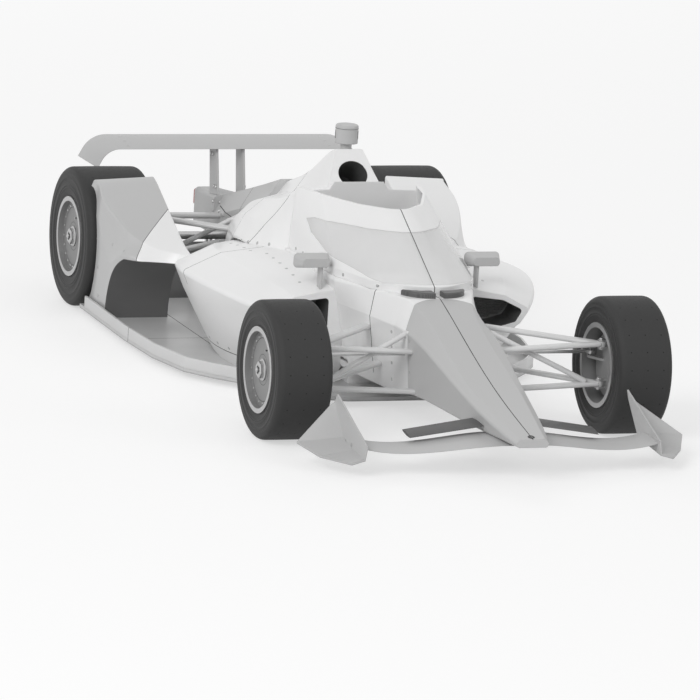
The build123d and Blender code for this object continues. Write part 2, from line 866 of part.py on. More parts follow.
# Mirrors on stalks
mirror_ahead = -827
mirror_y = 436
mirror_z = 665
mirror_width = 182
mirror_height = 72
mirror_depth = 76
mirror_stalk_y = 400
mirror_stalk_z = 508

with BuildPart() as mirrors:
    with BuildSketch(cross_plane(nose_x(mirror_ahead) - mirror_depth / 2)):
        with Locations((mirror_y, mirror_z)):
            RectangleRounded(mirror_width, mirror_height, 22)
    with BuildSketch(cross_plane(nose_x(mirror_ahead) + mirror_depth / 2)):
        with Locations((mirror_y, mirror_z)):
            RectangleRounded(mirror_width - 50, mirror_height - 30, 16)
    loft()
    with BuildSketch(Plane.XY.offset(mirror_stalk_z)):
        with Locations((nose_x(mirror_ahead) - 5, mirror_stalk_y)):
            SlotOverall(52, 12)
    extrude(amount=mirror_z - mirror_stalk_z)
    mirror(about=Plane.XZ)
    add(sidepod_left.part, mode=Mode.SUBTRACT)
    add(sidepod_right.part, mode=Mode.SUBTRACT)
    add(cell_shape.part, mode=Mode.SUBTRACT)

# Cockpit fittings
headrest_front_ahead = -1170
headrest_outer_y = 300
headrest_inner_y = 170
headrest_well_ahead = -1370
headrest_top_z = 765
deck_z = cockpit_section[6]
dash_ahead = -800
dash_thickness = 20
dash_bottom_z = 400

with BuildPart() as headrest:
    with BuildSketch(Plane.XY.offset(deck_z)):
        rest_back = nose_x(screen_rear_ahead)
        rest_front = nose_x(headrest_front_ahead)
        with Locations(((rest_back + rest_front) / 2, 0)):
            Rectangle(rest_front - rest_back, 2 * headrest_outer_y)
        well_back = nose_x(headrest_well_ahead)
        with Locations(((well_back + rest_front) / 2 + 50, 0)):
            Rectangle(rest_front - well_back + 100, 2 * headrest_inner_y, mode=Mode.SUBTRACT)
    extrude(amount=headrest_top_z - deck_z)

seat_half_width = 200
seat_profile = [
    # ahead of axle, z
    (-1480, 520),
    (-1435, 540),
    (-1265, 245),
    (-900, 215),
    (-900, cockpit_floor_z),
    (-1300, cockpit_floor_z),
]

with BuildPart() as seat:
    with BuildSketch(side_plane(seat_half_width)):
        with BuildLine():
            Polyline(*[(nose_x(ahead), z) for ahead, z in seat_profile], close=True)
        make_face()
    extrude(amount=2 * seat_half_width)

wheel_centre = Vector(nose_x(steering_wheel_ahead), 0, steering_wheel_z)
upright_plane = Plane(origin=wheel_centre, x_dir=(0, 1, 0), z_dir=(1, 0, 0))
wheel_plane = upright_plane.rotated((0, steering_wheel_tilt, 0))
column_bore_length = 300
column_length = 150
yoke_corner = 50
hand_hole_y = 82
hand_hole_height = 76
hand_hole_width = 44

with BuildPart() as dashboard:
    with BuildSketch(cross_plane(nose_x(dash_ahead))):
        with Locations((0, (dash_bottom_z + cockpit_ceiling_z) / 2)):
            Rectangle(2 * cockpit_half_width, cockpit_ceiling_z - dash_bottom_z)
    extrude(amount=dash_thickness)
    with BuildSketch(wheel_plane):
        Circle(column_radius + column_clearance)
    extrude(amount=column_bore_length, mode=Mode.SUBTRACT)

with BuildPart() as steering_wheel:
    with BuildSketch(wheel_plane):
        RectangleRounded(steering_wheel_width, steering_wheel_height, yoke_corner)
        with Locations((hand_hole_y, 0), (-hand_hole_y, 0)):
            SlotOverall(hand_hole_height, hand_hole_width, rotation=90, mode=Mode.SUBTRACT)
    extrude(amount=steering_wheel_thickness)
    with BuildSketch(wheel_plane):
        Circle(column_radius)
    extrude(amount=column_length)

# Rear uprights, fixed, with their spindles
rear_wheel_y = rear_track / 2
front_wheel_y = front_track / 2
front_axle_z = front_tyre_diameter / 2
rear_axle_z = rear_tyre_diameter / 2
rear_upright_inner_y = 604
rear_upright_thickness = 34
rear_upright_length = 96
rear_upright_bottom_z = 195
rear_upright_top_z = 490
rear_disc_w = rear_tyre_width / 2 - wheel_disc_recess - wheel_disc_thickness
front_disc_w = front_tyre_width / 2 - wheel_disc_recess - wheel_disc_thickness

with BuildPart() as rear_uprights:
    with BuildSketch(side_plane(rear_upright_inner_y + rear_upright_thickness)):
        with Locations((rear_axle_x, (rear_upright_bottom_z + rear_upright_top_z) / 2)):
            Rectangle(rear_upright_length, rear_upright_top_z - rear_upright_bottom_z)
    extrude(amount=rear_upright_thickness)
    with BuildSketch(side_plane(rear_wheel_y + rear_disc_w - 5)):
        with Locations((rear_axle_x, rear_axle_z)):
            Circle(spindle_radius)
    extrude(amount=rear_wheel_y + rear_disc_w - 5 - rear_upright_inner_y - 5)
    mirror(about=Plane.XZ)

# Suspension links, each a table of its two ends for the left side
kingpin_y = front_wheel_y - kingpin_inset
front_upper_ends = [(nose_x(-60), 150, 388), (nose_x(-547), 220, 420)]
front_lower_ends = [(nose_x(-30), 120, 203), (nose_x(-450), 170, 266)]
front_rod_ends = [((nose_x(-4), 668, 249), (nose_x(-128), 150, 495))]
rear_arm_outer = {"upper": 462, "lower": 222}
rear_upper_ends = [(tail_station(-310), 100, 432), (tail_station(263), 60, 405)]
rear_lower_ends = [(tail_station(-330), 90, 232), (tail_station(250), 60, 275)]
front_arm_chord = 50
front_arm_thickness = 22
eye_start = 8

kingpin_bore_half = 60

with BuildPart() as front_upper_arms:
    for inner in front_upper_ends:
        eye = (front_axle_x, kingpin_y, upper_ball_z)
        reach = strut_plane(eye, inner)
        with BuildSketch(reach.offset(eye_start)):
            SlotOverall(front_arm_chord, front_arm_thickness)
        extrude(amount=strut_length(eye, inner) - eye_start)
    with BuildSketch(Plane.XY.offset(upper_ball_z - ball_eye_height / 2)):
        with Locations((front_axle_x, kingpin_y)):
            Circle(ball_eye_radius)
    extrude(amount=ball_eye_height)
    with BuildSketch(Plane.XY.offset(upper_ball_z - kingpin_bore_half)):
        with Locations((front_axle_x, kingpin_y)):
            Circle(kingpin_radius + kingpin_clearance)
    extrude(amount=2 * kingpin_bore_half, mode=Mode.SUBTRACT)
    mirror(about=Plane.XZ)
    add(forebody.part, mode=Mode.SUBTRACT)

with BuildPart() as front_lower_arms:
    for inner in front_lower_ends:
        eye = (front_axle_x, kingpin_y, lower_ball_z)
        reach = strut_plane(eye, inner)
        with BuildSketch(reach.offset(eye_start)):
            SlotOverall(front_arm_chord, front_arm_thickness)
        extrude(amount=strut_length(eye, inner) - eye_start)
    with BuildSketch(Plane.XY.offset(lower_ball_z - ball_eye_height / 2)):
        with Locations((front_axle_x, kingpin_y)):
            Circle(ball_eye_radius)
    extrude(amount=ball_eye_height)
    with BuildSketch(Plane.XY.offset(lower_ball_z - kingpin_bore_half)):
        with Locations((front_axle_x, kingpin_y)):
            Circle(kingpin_radius + kingpin_clearance)
    extrude(amount=2 * kingpin_bore_half, mode=Mode.SUBTRACT)
    mirror(about=Plane.XZ)
    add(forebody.part, mode=Mode.SUBTRACT)

with BuildPart() as front_pushrods:
    for start, end in front_rod_ends:
        with BuildSketch(strut_plane(start, end)):
            Circle(rod_diameter / 2)
        extrude(amount=strut_length(start, end))
    mirror(about=Plane.XZ)
    add(forebody.part, mode=Mode.SUBTRACT)
    add(front_lower_arms.part, mode=Mode.SUBTRACT)

with BuildPart() as rear_upper_arms:
    for inner in rear_upper_ends:
        outer = (rear_axle_x, rear_upright_inner_y + 8, rear_arm_outer["upper"])
        with BuildSketch(strut_plane(outer, inner)):
            SlotOverall(arm_chord, arm_thickness)
        extrude(amount=strut_length(outer, inner))
    mirror(about=Plane.XZ)
    add(gearbox.part, mode=Mode.SUBTRACT)
    add(rear_uprights.part, mode=Mode.SUBTRACT)

with BuildPart() as rear_lower_arms:
    for inner in rear_lower_ends:
        outer = (rear_axle_x, rear_upright_inner_y + 8, rear_arm_outer["lower"])
        with BuildSketch(strut_plane(outer, inner)):
            SlotOverall(arm_chord, arm_thickness)
        extrude(amount=strut_length(outer, inner))
    mirror(about=Plane.XZ)
    add(gearbox.part, mode=Mode.SUBTRACT)
    add(rear_uprights.part, mode=Mode.SUBTRACT)

with BuildPart() as rear_pushrods:
    start = (tail_station(-30), 545, rear_arm_outer["lower"] + 18)
    end = (tail_station(-150), 60, 520)
    with BuildSketch(strut_plane(start, end)):
        Circle(rod_diameter / 2)
    extrude(amount=strut_length(start, end))
    mirror(about=Plane.XZ)
    add(gearbox.part, mode=Mode.SUBTRACT)
    add(rear_lower_arms.part, mode=Mode.SUBTRACT)
    add(rear_upper_arms.part, mode=Mode.SUBTRACT)

driveshaft_radius = 20

with BuildPart() as driveshafts:
    with BuildSketch(side_plane(rear_upright_inner_y)):
        with Locations((rear_axle_x, rear_axle_z)):
            Circle(driveshaft_radius)
    extrude(amount=rear_upright_inner_y - 60)
    mirror(about=Plane.XZ)
    add(gearbox.part, mode=Mode.SUBTRACT)
    add(rear_pushrods.part, mode=Mode.SUBTRACT)

# Front uprights turn on the kingpins; each carries its spindle, brake drum and steering arm
web_inner_y = kingpin_y + upright_web_inset
web_outer_y = web_inner_y + upright_web_thickness

with BuildPart() as front_upright_left:
    clevis_reach = ball_eye_height / 2 + clevis_gap + clevis_thickness
    web_bottom_z = lower_ball_z - clevis_reach
    web_top_z = upper_ball_z + clevis_reach
    with BuildSketch(side_plane(web_outer_y)):
        with Locations((front_axle_x, (web_bottom_z + web_top_z) / 2)):
            Rectangle(upright_web_length, web_top_z - web_bottom_z)
    extrude(amount=upright_web_thickness)
    for ball_z in (upper_ball_z, lower_ball_z):
        for low_z in (ball_z - clevis_reach, ball_z + ball_eye_height / 2 + clevis_gap):
            with BuildSketch(Plane.XY.offset(low_z)):
                with Locations((front_axle_x, kingpin_y)):
                    Circle(ball_eye_radius)
                tongue_length = upright_web_inset + clevis_overlap
                with Locations((front_axle_x, kingpin_y + tongue_length / 2)):
                    Rectangle(2 * ball_eye_radius, tongue_length)
            extrude(amount=clevis_thickness)
        with BuildSketch(Plane.XY.offset(ball_z - clevis_reach)):
            with Locations((front_axle_x, kingpin_y)):
                Circle(kingpin_radius)
        extrude(amount=2 * clevis_reach)
    with BuildSketch(side_plane(web_outer_y)):
        with Locations((front_axle_x, front_axle_z)):
            Circle(brake_drum_radius)
    extrude(amount=brake_drum_thickness)
    with BuildSketch(side_plane(front_wheel_y + front_disc_w - 5)):
        with Locations((front_axle_x, front_axle_z)):
            Circle(spindle_radius)
    extrude(amount=front_wheel_y + front_disc_w - 5 - web_outer_y)
    arm_top_z = track_rod_z - track_rod_radius - 7
    with BuildSketch(Plane.XY.offset(arm_top_z - steering_arm_thickness)):
        with BuildLine():
            Polyline(
                (arm_pin_x - 4, kingpin_y - steering_arm_width / 2),
                (arm_pin_x + 20, kingpin_y - steering_arm_width / 2),
                (front_axle_x - 40, web_inner_y - 10),
                (front_axle_x - 10, web_inner_y + 5),
                (front_axle_x - 44, web_outer_y - 4),
                (arm_pin_x - 4, kingpin_y + steering_arm_width / 2),
                close=True,
            )
        make_face()
        with Locations((arm_pin_x, kingpin_y)):
            Circle(steering_arm_width / 2)
    extrude(amount=steering_arm_thickness)
    with BuildSketch(Plane.XY.offset(arm_top_z - steering_arm_thickness)):
        with Locations((arm_pin_x, kingpin_y)):
            Circle(rod_pin_radius)
    extrude(amount=steering_arm_thickness + 7 + 2 * track_rod_radius + 6)

with BuildPart() as front_upright_right:
    add(front_upright_left.part)
    mirror(about=Plane.XZ, mode=Mode.REPLACE)

# Steering rack and track rods, one bar across the car with an eye at each end
rod_end_overlap = 4

with BuildPart() as track_rods:
    rod_half_length = kingpin_y - rod_eye_bore - rod_end_overlap
    with BuildSketch(side_plane(rod_half_length)):
        with Locations((arm_pin_x, track_rod_z)):
            Circle(track_rod_radius)
    extrude(amount=2 * rod_half_length)
    with BuildSketch(Plane.XY.offset(track_rod_z - rod_eye_height / 2)):
        with Locations((arm_pin_x, kingpin_y), (arm_pin_x, -kingpin_y)):
            Circle(rod_eye_radius)
            Circle(rod_eye_bore, mode=Mode.SUBTRACT)
    extrude(amount=rod_eye_height)

# Wheels: a rim with a closed disc and a tyre, made on the axle and moved to each corner
front_radius = front_tyre_diameter / 2
rear_radius = rear_tyre_diameter / 2
wheel_rows = [
    # name, X, Y of the wheel centre, side, radius, width, disc position
    ("front_left", front_axle_x, front_wheel_y, 1, front_radius, front_tyre_width, front_disc_w),
    ("front_right", front_axle_x, -front_wheel_y, -1, front_radius, front_tyre_width, front_disc_w),
    ("rear_left", rear_axle_x, rear_wheel_y, 1, rear_radius, rear_tyre_width, rear_disc_w),
    ("rear_right", rear_axle_x, -rear_wheel_y, -1, rear_radius, rear_tyre_width, rear_disc_w),
]
rims = {}
tyres = {}

for name, wheel_x, wheel_y, side, radius, width, disc_w in wheel_rows:
    # Axial plane: local x is outward along the axle, local y is the radius, turned about the axle
    axial = Plane(origin=(wheel_x, wheel_y, radius), x_dir=(0, side, 0), z_dir=(-side, 0, 0))
    axle = Axis((wheel_x, wheel_y, radius), (0, 1, 0))
    half = width / 2 - bead_inset
    with BuildPart() as tyre:
        with BuildSketch(axial):
            with BuildLine():
                outer_half = [
                    (half, rim_seat_radius + bead_clearance),
                    (width / 2, rim_seat_radius + sidewall_height),
                    (width / 2, radius - tyre_shoulder),
                    (width / 2 - tyre_shoulder_knee, radius - tyre_shoulder_knee),
                    (width / 2 - tyre_shoulder, radius),
                ]
                Polyline(*outer_half, *[(-w, r) for w, r in reversed(outer_half)], close=True)
            make_face()
        revolve(axis=axle)
    with BuildPart() as rim:
        flange_out = half + rim_flange_width
        flange_radius = rim_seat_radius + rim_flange_height
        flange_in = half + flange_clearance + (width / 2 - half) * rim_flange_height / sidewall_height
        bore = rim_seat_radius - rim_wall
        with BuildSketch(axial):
            with BuildLine():
                Polyline(
                    (-flange_out, bore),
                    (-flange_out, flange_radius),
                    (-flange_in, flange_radius),
                    (-half - flange_clearance, rim_seat_radius),
                    (half + flange_clearance, rim_seat_radius),
                    (flange_in, flange_radius),
                    (flange_out, flange_radius),
                    (flange_out, bore),
                    (disc_w + wheel_disc_thickness, bore),
                    (disc_w + wheel_disc_thickness, wheel_nut_radius),
                    (disc_w + wheel_disc_thickness + wheel_nut_height, wheel_nut_radius),
                    (disc_w + wheel_disc_thickness + wheel_nut_height, 0),
                    (disc_w, 0),
                    (disc_w, spindle_radius + spindle_clearance),
                    (disc_w - hub_depth, spindle_radius + spindle_clearance),
                    (disc_w - hub_depth, hub_radius),
                    (disc_w, hub_radius),
                    (disc_w, bore),
                    close=True,
                )
            make_face()
        revolve(axis=axle)
    rims[name] = rim
    tyres[name] = tyre

exports = {
    "monocoque": monocoque,
    "nose_cone": nose_cone,
    "screen_frame": screen_frame,
    "screen_glass": screen_glass,
    "screen_vents": screen_vents,
    "engine_cover": engine_cover,
    "camera_pod": camera_pod,
    "engine_block": engine_block,
    "gearbox": gearbox,
    "attenuator": attenuator,
    "rear_light": rear_light,
    "tow_eye": tow_eye,
    "exhaust_pipes": exhaust_pipes,
    "sidepod_left": sidepod_left,
    "sidepod_right": sidepod_right,
    "radiators": radiators,
    "floor_plate": floor_plate,
    "floor_fences": floor_fences,
    "diffuser": diffuser,
    "wheel_pod_left": wheel_pod_left,
    "wheel_pod_right": wheel_pod_right,
    "front_wing": front_wing,
    "wing_flaps": wing_flaps,
    "wing_endplates": wing_endplates,
    "rear_wing": rear_wing,
    "wing_pylons": wing_pylons,
    "mirrors": mirrors,
    "headrest": headrest,
    "seat": seat,
    "dashboard": dashboard,
    "steering_wheel": steering_wheel,
    "front_upper_arms": front_upper_arms,
    "front_lower_arms": front_lower_arms,
    "front_pushrods": front_pushrods,
    "rear_upper_arms": rear_upper_arms,
    "rear_lower_arms": rear_lower_arms,
    "rear_pushrods": rear_pushrods,
    "driveshafts": driveshafts,
    "rear_uprights": rear_uprights,
    "front_upright_left": front_upright_left,
    "front_upright_right": front_upright_right,
    "track_rods": track_rods,
}
for name in rims:
    exports[name + "_rim"] = rims[name]
    exports[name + "_tyre"] = tyres[name]

for name, piece in exports.items():
    piece.part.label = name
    export_step(piece.part, "parts/" + name + ".step")
    box = piece.part.bounding_box()
    print(name, len(piece.part.solids()), "solids", box.min, box.max)
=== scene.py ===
import math

import bpy
from mathutils import Matrix, Vector
from mathutils.bvhtree import BVHTree


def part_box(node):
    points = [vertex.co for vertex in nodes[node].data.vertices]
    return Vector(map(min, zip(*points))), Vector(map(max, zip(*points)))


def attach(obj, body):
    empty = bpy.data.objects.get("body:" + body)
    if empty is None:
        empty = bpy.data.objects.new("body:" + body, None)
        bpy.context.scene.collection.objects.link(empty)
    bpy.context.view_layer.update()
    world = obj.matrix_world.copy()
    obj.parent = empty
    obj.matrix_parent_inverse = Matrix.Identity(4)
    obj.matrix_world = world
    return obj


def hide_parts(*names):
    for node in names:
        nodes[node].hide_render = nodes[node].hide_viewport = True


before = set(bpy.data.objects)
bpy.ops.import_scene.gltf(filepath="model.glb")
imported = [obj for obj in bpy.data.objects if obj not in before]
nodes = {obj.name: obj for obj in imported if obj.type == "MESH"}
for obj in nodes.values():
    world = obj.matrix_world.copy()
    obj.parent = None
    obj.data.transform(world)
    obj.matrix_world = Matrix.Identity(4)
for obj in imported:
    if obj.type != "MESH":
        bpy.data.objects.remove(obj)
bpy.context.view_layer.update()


# Camera: a long lens far off the car's right front corner, a little above it and slightly
# rolled, so that lines stay almost parallel.
camera_turn = math.radians(20.13)
camera_rise = math.radians(11.9)
camera_roll = math.radians(3.58)
camera_distance = 30.69
camera_target = Vector((-0.1, 0.022, 0.079))
sensor_width = 36
focal_share = 8.895  # focal length over the width of the picture
far_clip = 200

to_camera = Vector((
    math.cos(camera_turn) * math.cos(camera_rise),
    -math.sin(camera_turn) * math.cos(camera_rise),
    math.sin(camera_rise),
))
level_right = Vector((math.sin(camera_turn), math.cos(camera_turn), 0))
level_up = to_camera.cross(level_right)
picture_right = math.cos(camera_roll) * level_right + math.sin(camera_roll) * level_up
picture_up = math.cos(camera_roll) * level_up - math.sin(camera_roll) * level_right
lens = bpy.data.cameras.new("camera")
lens.sensor_width = sensor_width
lens.lens = focal_share * sensor_width
lens.clip_end = far_clip
camera = bpy.data.objects.new("camera", lens)
bpy.context.scene.collection.objects.link(camera)
stand = Matrix((picture_right, picture_up, to_camera)).transposed().to_4x4()
stand.translation = camera_target + camera_distance * to_camera
camera.matrix_world = stand
bpy.context.scene.camera = camera
bpy.context.scene.view_settings.view_transform = "Standard"


# Studio: a pale sweep of paper that reads as white where it is lit and keeps the car's
# shadow, under an even white sky and three large soft lamps.
floor_half = 70
floor_tone = 0.82
floor_glow = 0.45
floor_glow_strength = 1.27
sky_strength = 0.48
lamp_rows = [
    # name, place, size, power, whether it shows in shiny surfaces
    ("key", (17, -19, 16), 15, 3700, True),
    ("fill", (16, 18, 12), 16, 700, True),
    ("rear", (-22, 4, 14), 12, 1100, False),
]


class Shade:
    """A socket among a material's nodes; arithmetic on it adds Math nodes."""

    def __init__(self, tree, socket=None):
        self.tree = tree
        self.socket = socket

    def add(self, kind, settings=None, inputs=None, output=0):
        """Add a node of this kind, its settings made before its sockets are fed."""
        node = self.tree.nodes.new(kind)
        for name, value in (settings or {}).items():
            if name == "stops":
                ramp = node.color_ramp.elements
                ramp.remove(ramp[1])
                ramp[0].position, ramp[0].color = value[0]
                for stop, tone in value[1:]:
                    ramp.new(stop).color = tone
            else:
                setattr(node, name, value)
        for name, value in (inputs or {}).items():
            if isinstance(value, Shade):
                self.tree.links.new(value.socket, node.inputs[name])
            else:
                node.inputs[name].default_value = value
        return Shade(self.tree, node.outputs[output] if node.outputs else None)

    def math(self, operation, *others):
        return self.add("ShaderNodeMath", {"operation": operation}, dict(enumerate((self, *others))))

    def axes(self):
        return [self.add("ShaderNodeSeparateXYZ", inputs={0: self}, output=i) for i in range(3)]

    def __add__(self, other):
        return self.math("ADD", other)

    def __sub__(self, other):
        return self.math("SUBTRACT", other)

    def __rsub__(self, other):
        return self.add("ShaderNodeMath", {"operation": "SUBTRACT"}, {0: other, 1: self})

    def __mul__(self, other):
        return self.math("MULTIPLY", other)

    def __truediv__(self, other):
        return self.math("DIVIDE", other)

    def __lt__(self, other):
        return self.math("LESS_THAN", other)

    def __gt__(self, other):
        return self.math("GREATER_THAN", other)

    def __or__(self, other):
        return self.math("MAXIMUM", other)

    def __abs__(self):
        return self.math("ABSOLUTE")

    __radd__ = __add__
    __rmul__ = __mul__


def finish(name, recipe):
    """Material whose surface is the shader that the recipe builds from an empty tree."""
    made = bpy.data.materials.new(name)
    made.use_nodes = True
    made.node_tree.nodes.clear()
    start = Shade(made.node_tree)
    start.add("ShaderNodeOutputMaterial", inputs={"Surface": recipe(start)})
    return made


def shown_directly(start):
    """Mask of the rays that show the studio straight, in a shiny surface or through glass."""
    seen, mirrored, through = [
        start.add("ShaderNodeLightPath", output=ray)
        for ray in ("Is Camera Ray", "Is Glossy Ray", "Is Transmission Ray")
    ]
    return seen | mirrored | through


def paper_recipe(start):
    paper = start.add("ShaderNodeBsdfDiffuse", inputs={"Color": (floor_tone, floor_tone, floor_tone, 1)})
    glow = start.add("ShaderNodeEmission", inputs={"Strength": floor_glow_strength})
    share = shown_directly(start) * floor_glow
    return start.add("ShaderNodeMixShader", inputs={0: share, 1: paper, 2: glow})


floor_corners = [(x * floor_half, y * floor_half, 0) for x, y in ((-1, -1), (1, -1), (1, 1), (-1, 1))]
floor_mesh = bpy.data.meshes.new("studio_floor")
floor_mesh.from_pydata(floor_corners, [], [(0, 1, 2, 3)])
floor_mesh.materials.append(finish("studio_paper", paper_recipe))
studio_floor = bpy.data.objects.new("studio_floor", floor_mesh)
bpy.context.scene.collection.objects.link(studio_floor)

world = bpy.data.worlds.new("studio_sky")
bpy.context.scene.world = world
world.use_nodes = True
world.node_tree.nodes.clear()
sky = Shade(world.node_tree)
sky_light = sky.add("ShaderNodeBackground", inputs={
    "Color": (1, 1, 1, 1),
    "Strength": sky_strength + shown_directly(sky) * (1 - sky_strength),
})
sky.add("ShaderNodeOutputWorld", inputs={"Surface": sky_light})

for lamp_name, lamp_place, lamp_size, lamp_power, lamp_mirrored in lamp_rows:
    lamp_light = bpy.data.lights.new(lamp_name, "AREA")
    lamp_light.shape = "DISK"
    lamp_light.size = lamp_size
    lamp_light.energy = lamp_power
    lamp = bpy.data.objects.new(lamp_name, lamp_light)
    lamp.location = lamp_place
    lamp.rotation_euler = Vector(lamp_place).to_track_quat("Z", "Y").to_euler()
    lamp.visible_glossy = lamp_mirrored
    bpy.context.scene.collection.objects.link(lamp)


# White bodywork: thin carbon shells painted gloss white. The survival cell, sidepods, engine
# cover, screen frame and left wheel fairing are separate panels, held by quarter-turn studs.
white_tone = 0.88
# painted shade: darker white for the cell's sideways-facing flanks below the crease
flank_painted_shade_tone = 0.82
# painted shade: dark tone for the inside of the sidepod inlets and the airbox
duct_painted_shade_tone = 0.1
# painted shade: dark tone for the inside of the wheel fairing's arch
arch_painted_shade_tone = 0.13
seam_half = 0.0022
seam_tone = 0.06
soft_edge = 0.005
peel_scale = 420
peel_depth = 0.0016
cloud_scale = 7
dust_height = 0.12


def dress(finish_made, *names):
    """Give CAD nodes one finish."""
    for name in names:
        nodes[name].data.materials.clear()
        nodes[name].data.materials.append(finish_made)


def places(start):
    """The x, y and z of each point of a piece at rest."""
    return start.add("ShaderNodeTexCoord", output="Object").axes()


def facing(start):
    """The x, y and z of the way that the surface faces."""
    return start.add("ShaderNodeTexCoord", output="Normal").axes()


def noise(start, scale, detail):
    """Soft uneven grain over a piece."""
    place = start.add("ShaderNodeTexCoord", output="Object")
    return start.add("ShaderNodeTexNoise", inputs={"Vector": place, "Scale": scale, "Detail": detail})


def relief(start, height, strength, depth, edge=None):
    """Bumps of this depth, on edges that are softened where an edge radius is given."""
    inputs = {"Strength": strength, "Distance": depth, "Height": height}
    if edge:
        inputs["Normal"] = start.add("ShaderNodeBevel", {"samples": 4}, {"Radius": edge})
    return start.add("ShaderNodeBump", inputs=inputs)


def surface(start, inputs):
    return start.add("ShaderNodeBsdfPrincipled", inputs=inputs)


def seam(distance):
    """Mask of a panel gap where the distance is nearly nothing."""
    return abs(distance) < seam_half


def painted(start, tone, gap=None, coat=0.3, gloss=0.36, shine=0.4):
    """Gloss paint: faint orange peel, dust low down, dark panel gaps and softened panel edges."""
    cloud = noise(start, cloud_scale, 5)
    dust = ((1 - places(start)[2] / dust_height) | 0) * cloud
    shade = tone * (1 - 0.25 * dust) * (0.985 + 0.03 * cloud)
    rough = gloss + 0.12 * cloud
    bumps = 0.02 * noise(start, peel_scale, 2)
    if gap is not None:
        shade = shade * (1 - gap) + gap * seam_tone
        rough = rough + 0.4 * gap
        bumps = bumps - gap
        coat = coat * (1 - gap)
    return surface(start, {
        "Base Color": shade,
        "Roughness": rough,
        "Coat Weight": coat,
        "Coat Roughness": 0.12,
        "Specular IOR Level": shine,
        "Normal": relief(start, bumps, 0.35, peel_depth, soft_edge),
    })


flank_top_z = 0.478
deck_seam_front_x = 0.9
hatch_seam_x = 0.93
hatch_low_z = 0.2
hatch_inner_y = 0.05


def cell_recipe(start):
    """Survival cell: painted shade on its sideways flanks, a seam along the deck and one round the front
    hatch.
    """
    x, y, z = places(start)
    _, sideways, upward = facing(start)
    # painted shade: faces turned sideways below the crease get the darker tone
    painted_shade_flank = (abs(sideways) > 0.5) * (z < flank_top_z)
    deck_gap = seam(y) * (x > deck_seam_front_x) * (upward > 0.3)
    hatch_gap = seam(x - hatch_seam_x) * (z > hatch_low_z) * (abs(y) > hatch_inner_y)
    return painted(start, white_tone - (white_tone - flank_painted_shade_tone) * painted_shade_flank, deck_gap | hatch_gap)


inlet_corners = [
    # across and up, anticlockwise
    (0.362, 0.346), (0.511, 0.341), (0.604, 0.366), (0.640, 0.4245), (0.531, 0.482), (0.362, 0.5),
]
inlet_lip = 0.002
inlet_depth = 0.24
inlet_face_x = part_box("sidepod_left")[1].x - inlet_lip
pod_seam_x = -0.18
pod_seam_y = 0.5
pod_seam_slope = 0.25
pod_seam_low_z = 0.42
sill_seam_z = 0.115
sill_seam_slope = 0.02
sill_inner_y = 0.3


def inside_outline(corners, across, up):
    """Mask of the inside of a convex outline, its corners listed anticlockwise."""
    mask = None
    for (y0, z0), (y1, z1) in zip(corners, corners[1:] + corners[:1]):
        side = (y1 - y0) * (up - z0) - (z1 - z0) * (across - y0) > 0
        mask = side if mask is None else mask * side
    return mask


def sidepod_recipe(start):
    """Sidepod: painted shade inside its inlet, with a seam over the top and one along the sill."""
    x, y, z = places(start)
    # painted shade: the inside of the inlet, back to the inlet depth, gets the dark tone
    painted_shade_duct = inside_outline(inlet_corners, abs(y), z) * (x < inlet_face_x) * (x > inlet_face_x - inlet_depth)
    top_gap = seam(x - pod_seam_x - pod_seam_slope * (abs(y) - pod_seam_y)) * (z > pod_seam_low_z)
    low_gap = seam(z - sill_seam_z - sill_seam_slope * x) * (abs(y) > sill_inner_y)
    tone = white_tone * (1 - painted_shade_duct) + duct_painted_shade_tone * painted_shade_duct
    return painted(start, tone, (top_gap | low_gap) * (1 - painted_shade_duct))


airbox_centre = Vector((-0.154, 0, 0.9515))
airbox_ahead = Vector((0.821, 0, 0.571))
airbox_up = Vector((-airbox_ahead.z, 0, airbox_ahead.x))
airbox_half_width = 0.077
airbox_half_height = 0.072
airbox_lip = 0.003
airbox_depth = 0.2
hoop_seam_x = -0.143
hoop_seam_z = 0.86
hoop_seam_slope = 0.68
hoop_seam_inner_y = 0.17
tail_seam_x = -0.7
tail_seam_z = 0.7
tail_seam_slope = 0.15


def cover_recipe(start):
    """Engine cover: painted shade in the airbox and on faces turned down, with a seam at the hoop and one
    at the tail.
    """
    x, y, z = places(start)
    ahead, rise = x - airbox_centre.x, z - airbox_centre.z
    along = ahead * airbox_ahead.x + rise * airbox_ahead.z
    up = ahead * airbox_up.x + rise * airbox_up.z
    ring = y * y / airbox_half_width ** 2 + up * up / airbox_half_height ** 2
    # painted shade: the inside of the airbox and every face turned downward get the dark tone
    painted_shade_duct = (ring < 1) * (along < -airbox_lip) * (along > -airbox_depth)
    cover_painted_shade = painted_shade_duct | (facing(start)[2] < -0.5)
    hoop_gap = seam(x - hoop_seam_x - hoop_seam_slope * (z - hoop_seam_z)) * (abs(y) > hoop_seam_inner_y)
    tail_gap = seam(x - tail_seam_x - tail_seam_slope * (z - tail_seam_z))
    tone = white_tone * (1 - cover_painted_shade) + duct_painted_shade_tone * cover_painted_shade
    return painted(start, tone, (hoop_gap | tail_gap) * (1 - cover_painted_shade))


screen_seam_rear_x = 0.3


def screen_frame_recipe(start):
    x, y, _ = places(start)
    return painted(start, white_tone, seam(y) * (x > screen_seam_rear_x))


arch_foot = Vector((-1.04, 0.05))
arch_knee = Vector((-0.975, 0.27))
arch_head = Vector((-0.86, 0.386))
arch_lip = 0.002
tip_seam_x = -1.077
tip_seam_y = 0.653
tip_seam_slope = 1.2


def circle_through(first, middle, last):
    """Centre and radius of the circle through three points."""
    a, b = middle - first, last - first
    cross = 2 * (a.x * b.y - a.y * b.x)
    squares = Vector((a.length_squared, b.length_squared))
    offset = Vector((b.y * squares.x - a.y * squares.y, a.x * squares.y - b.x * squares.x)) / cross
    return first + offset, offset.length


arch_centre, arch_radius = circle_through(arch_foot, arch_knee, arch_head)


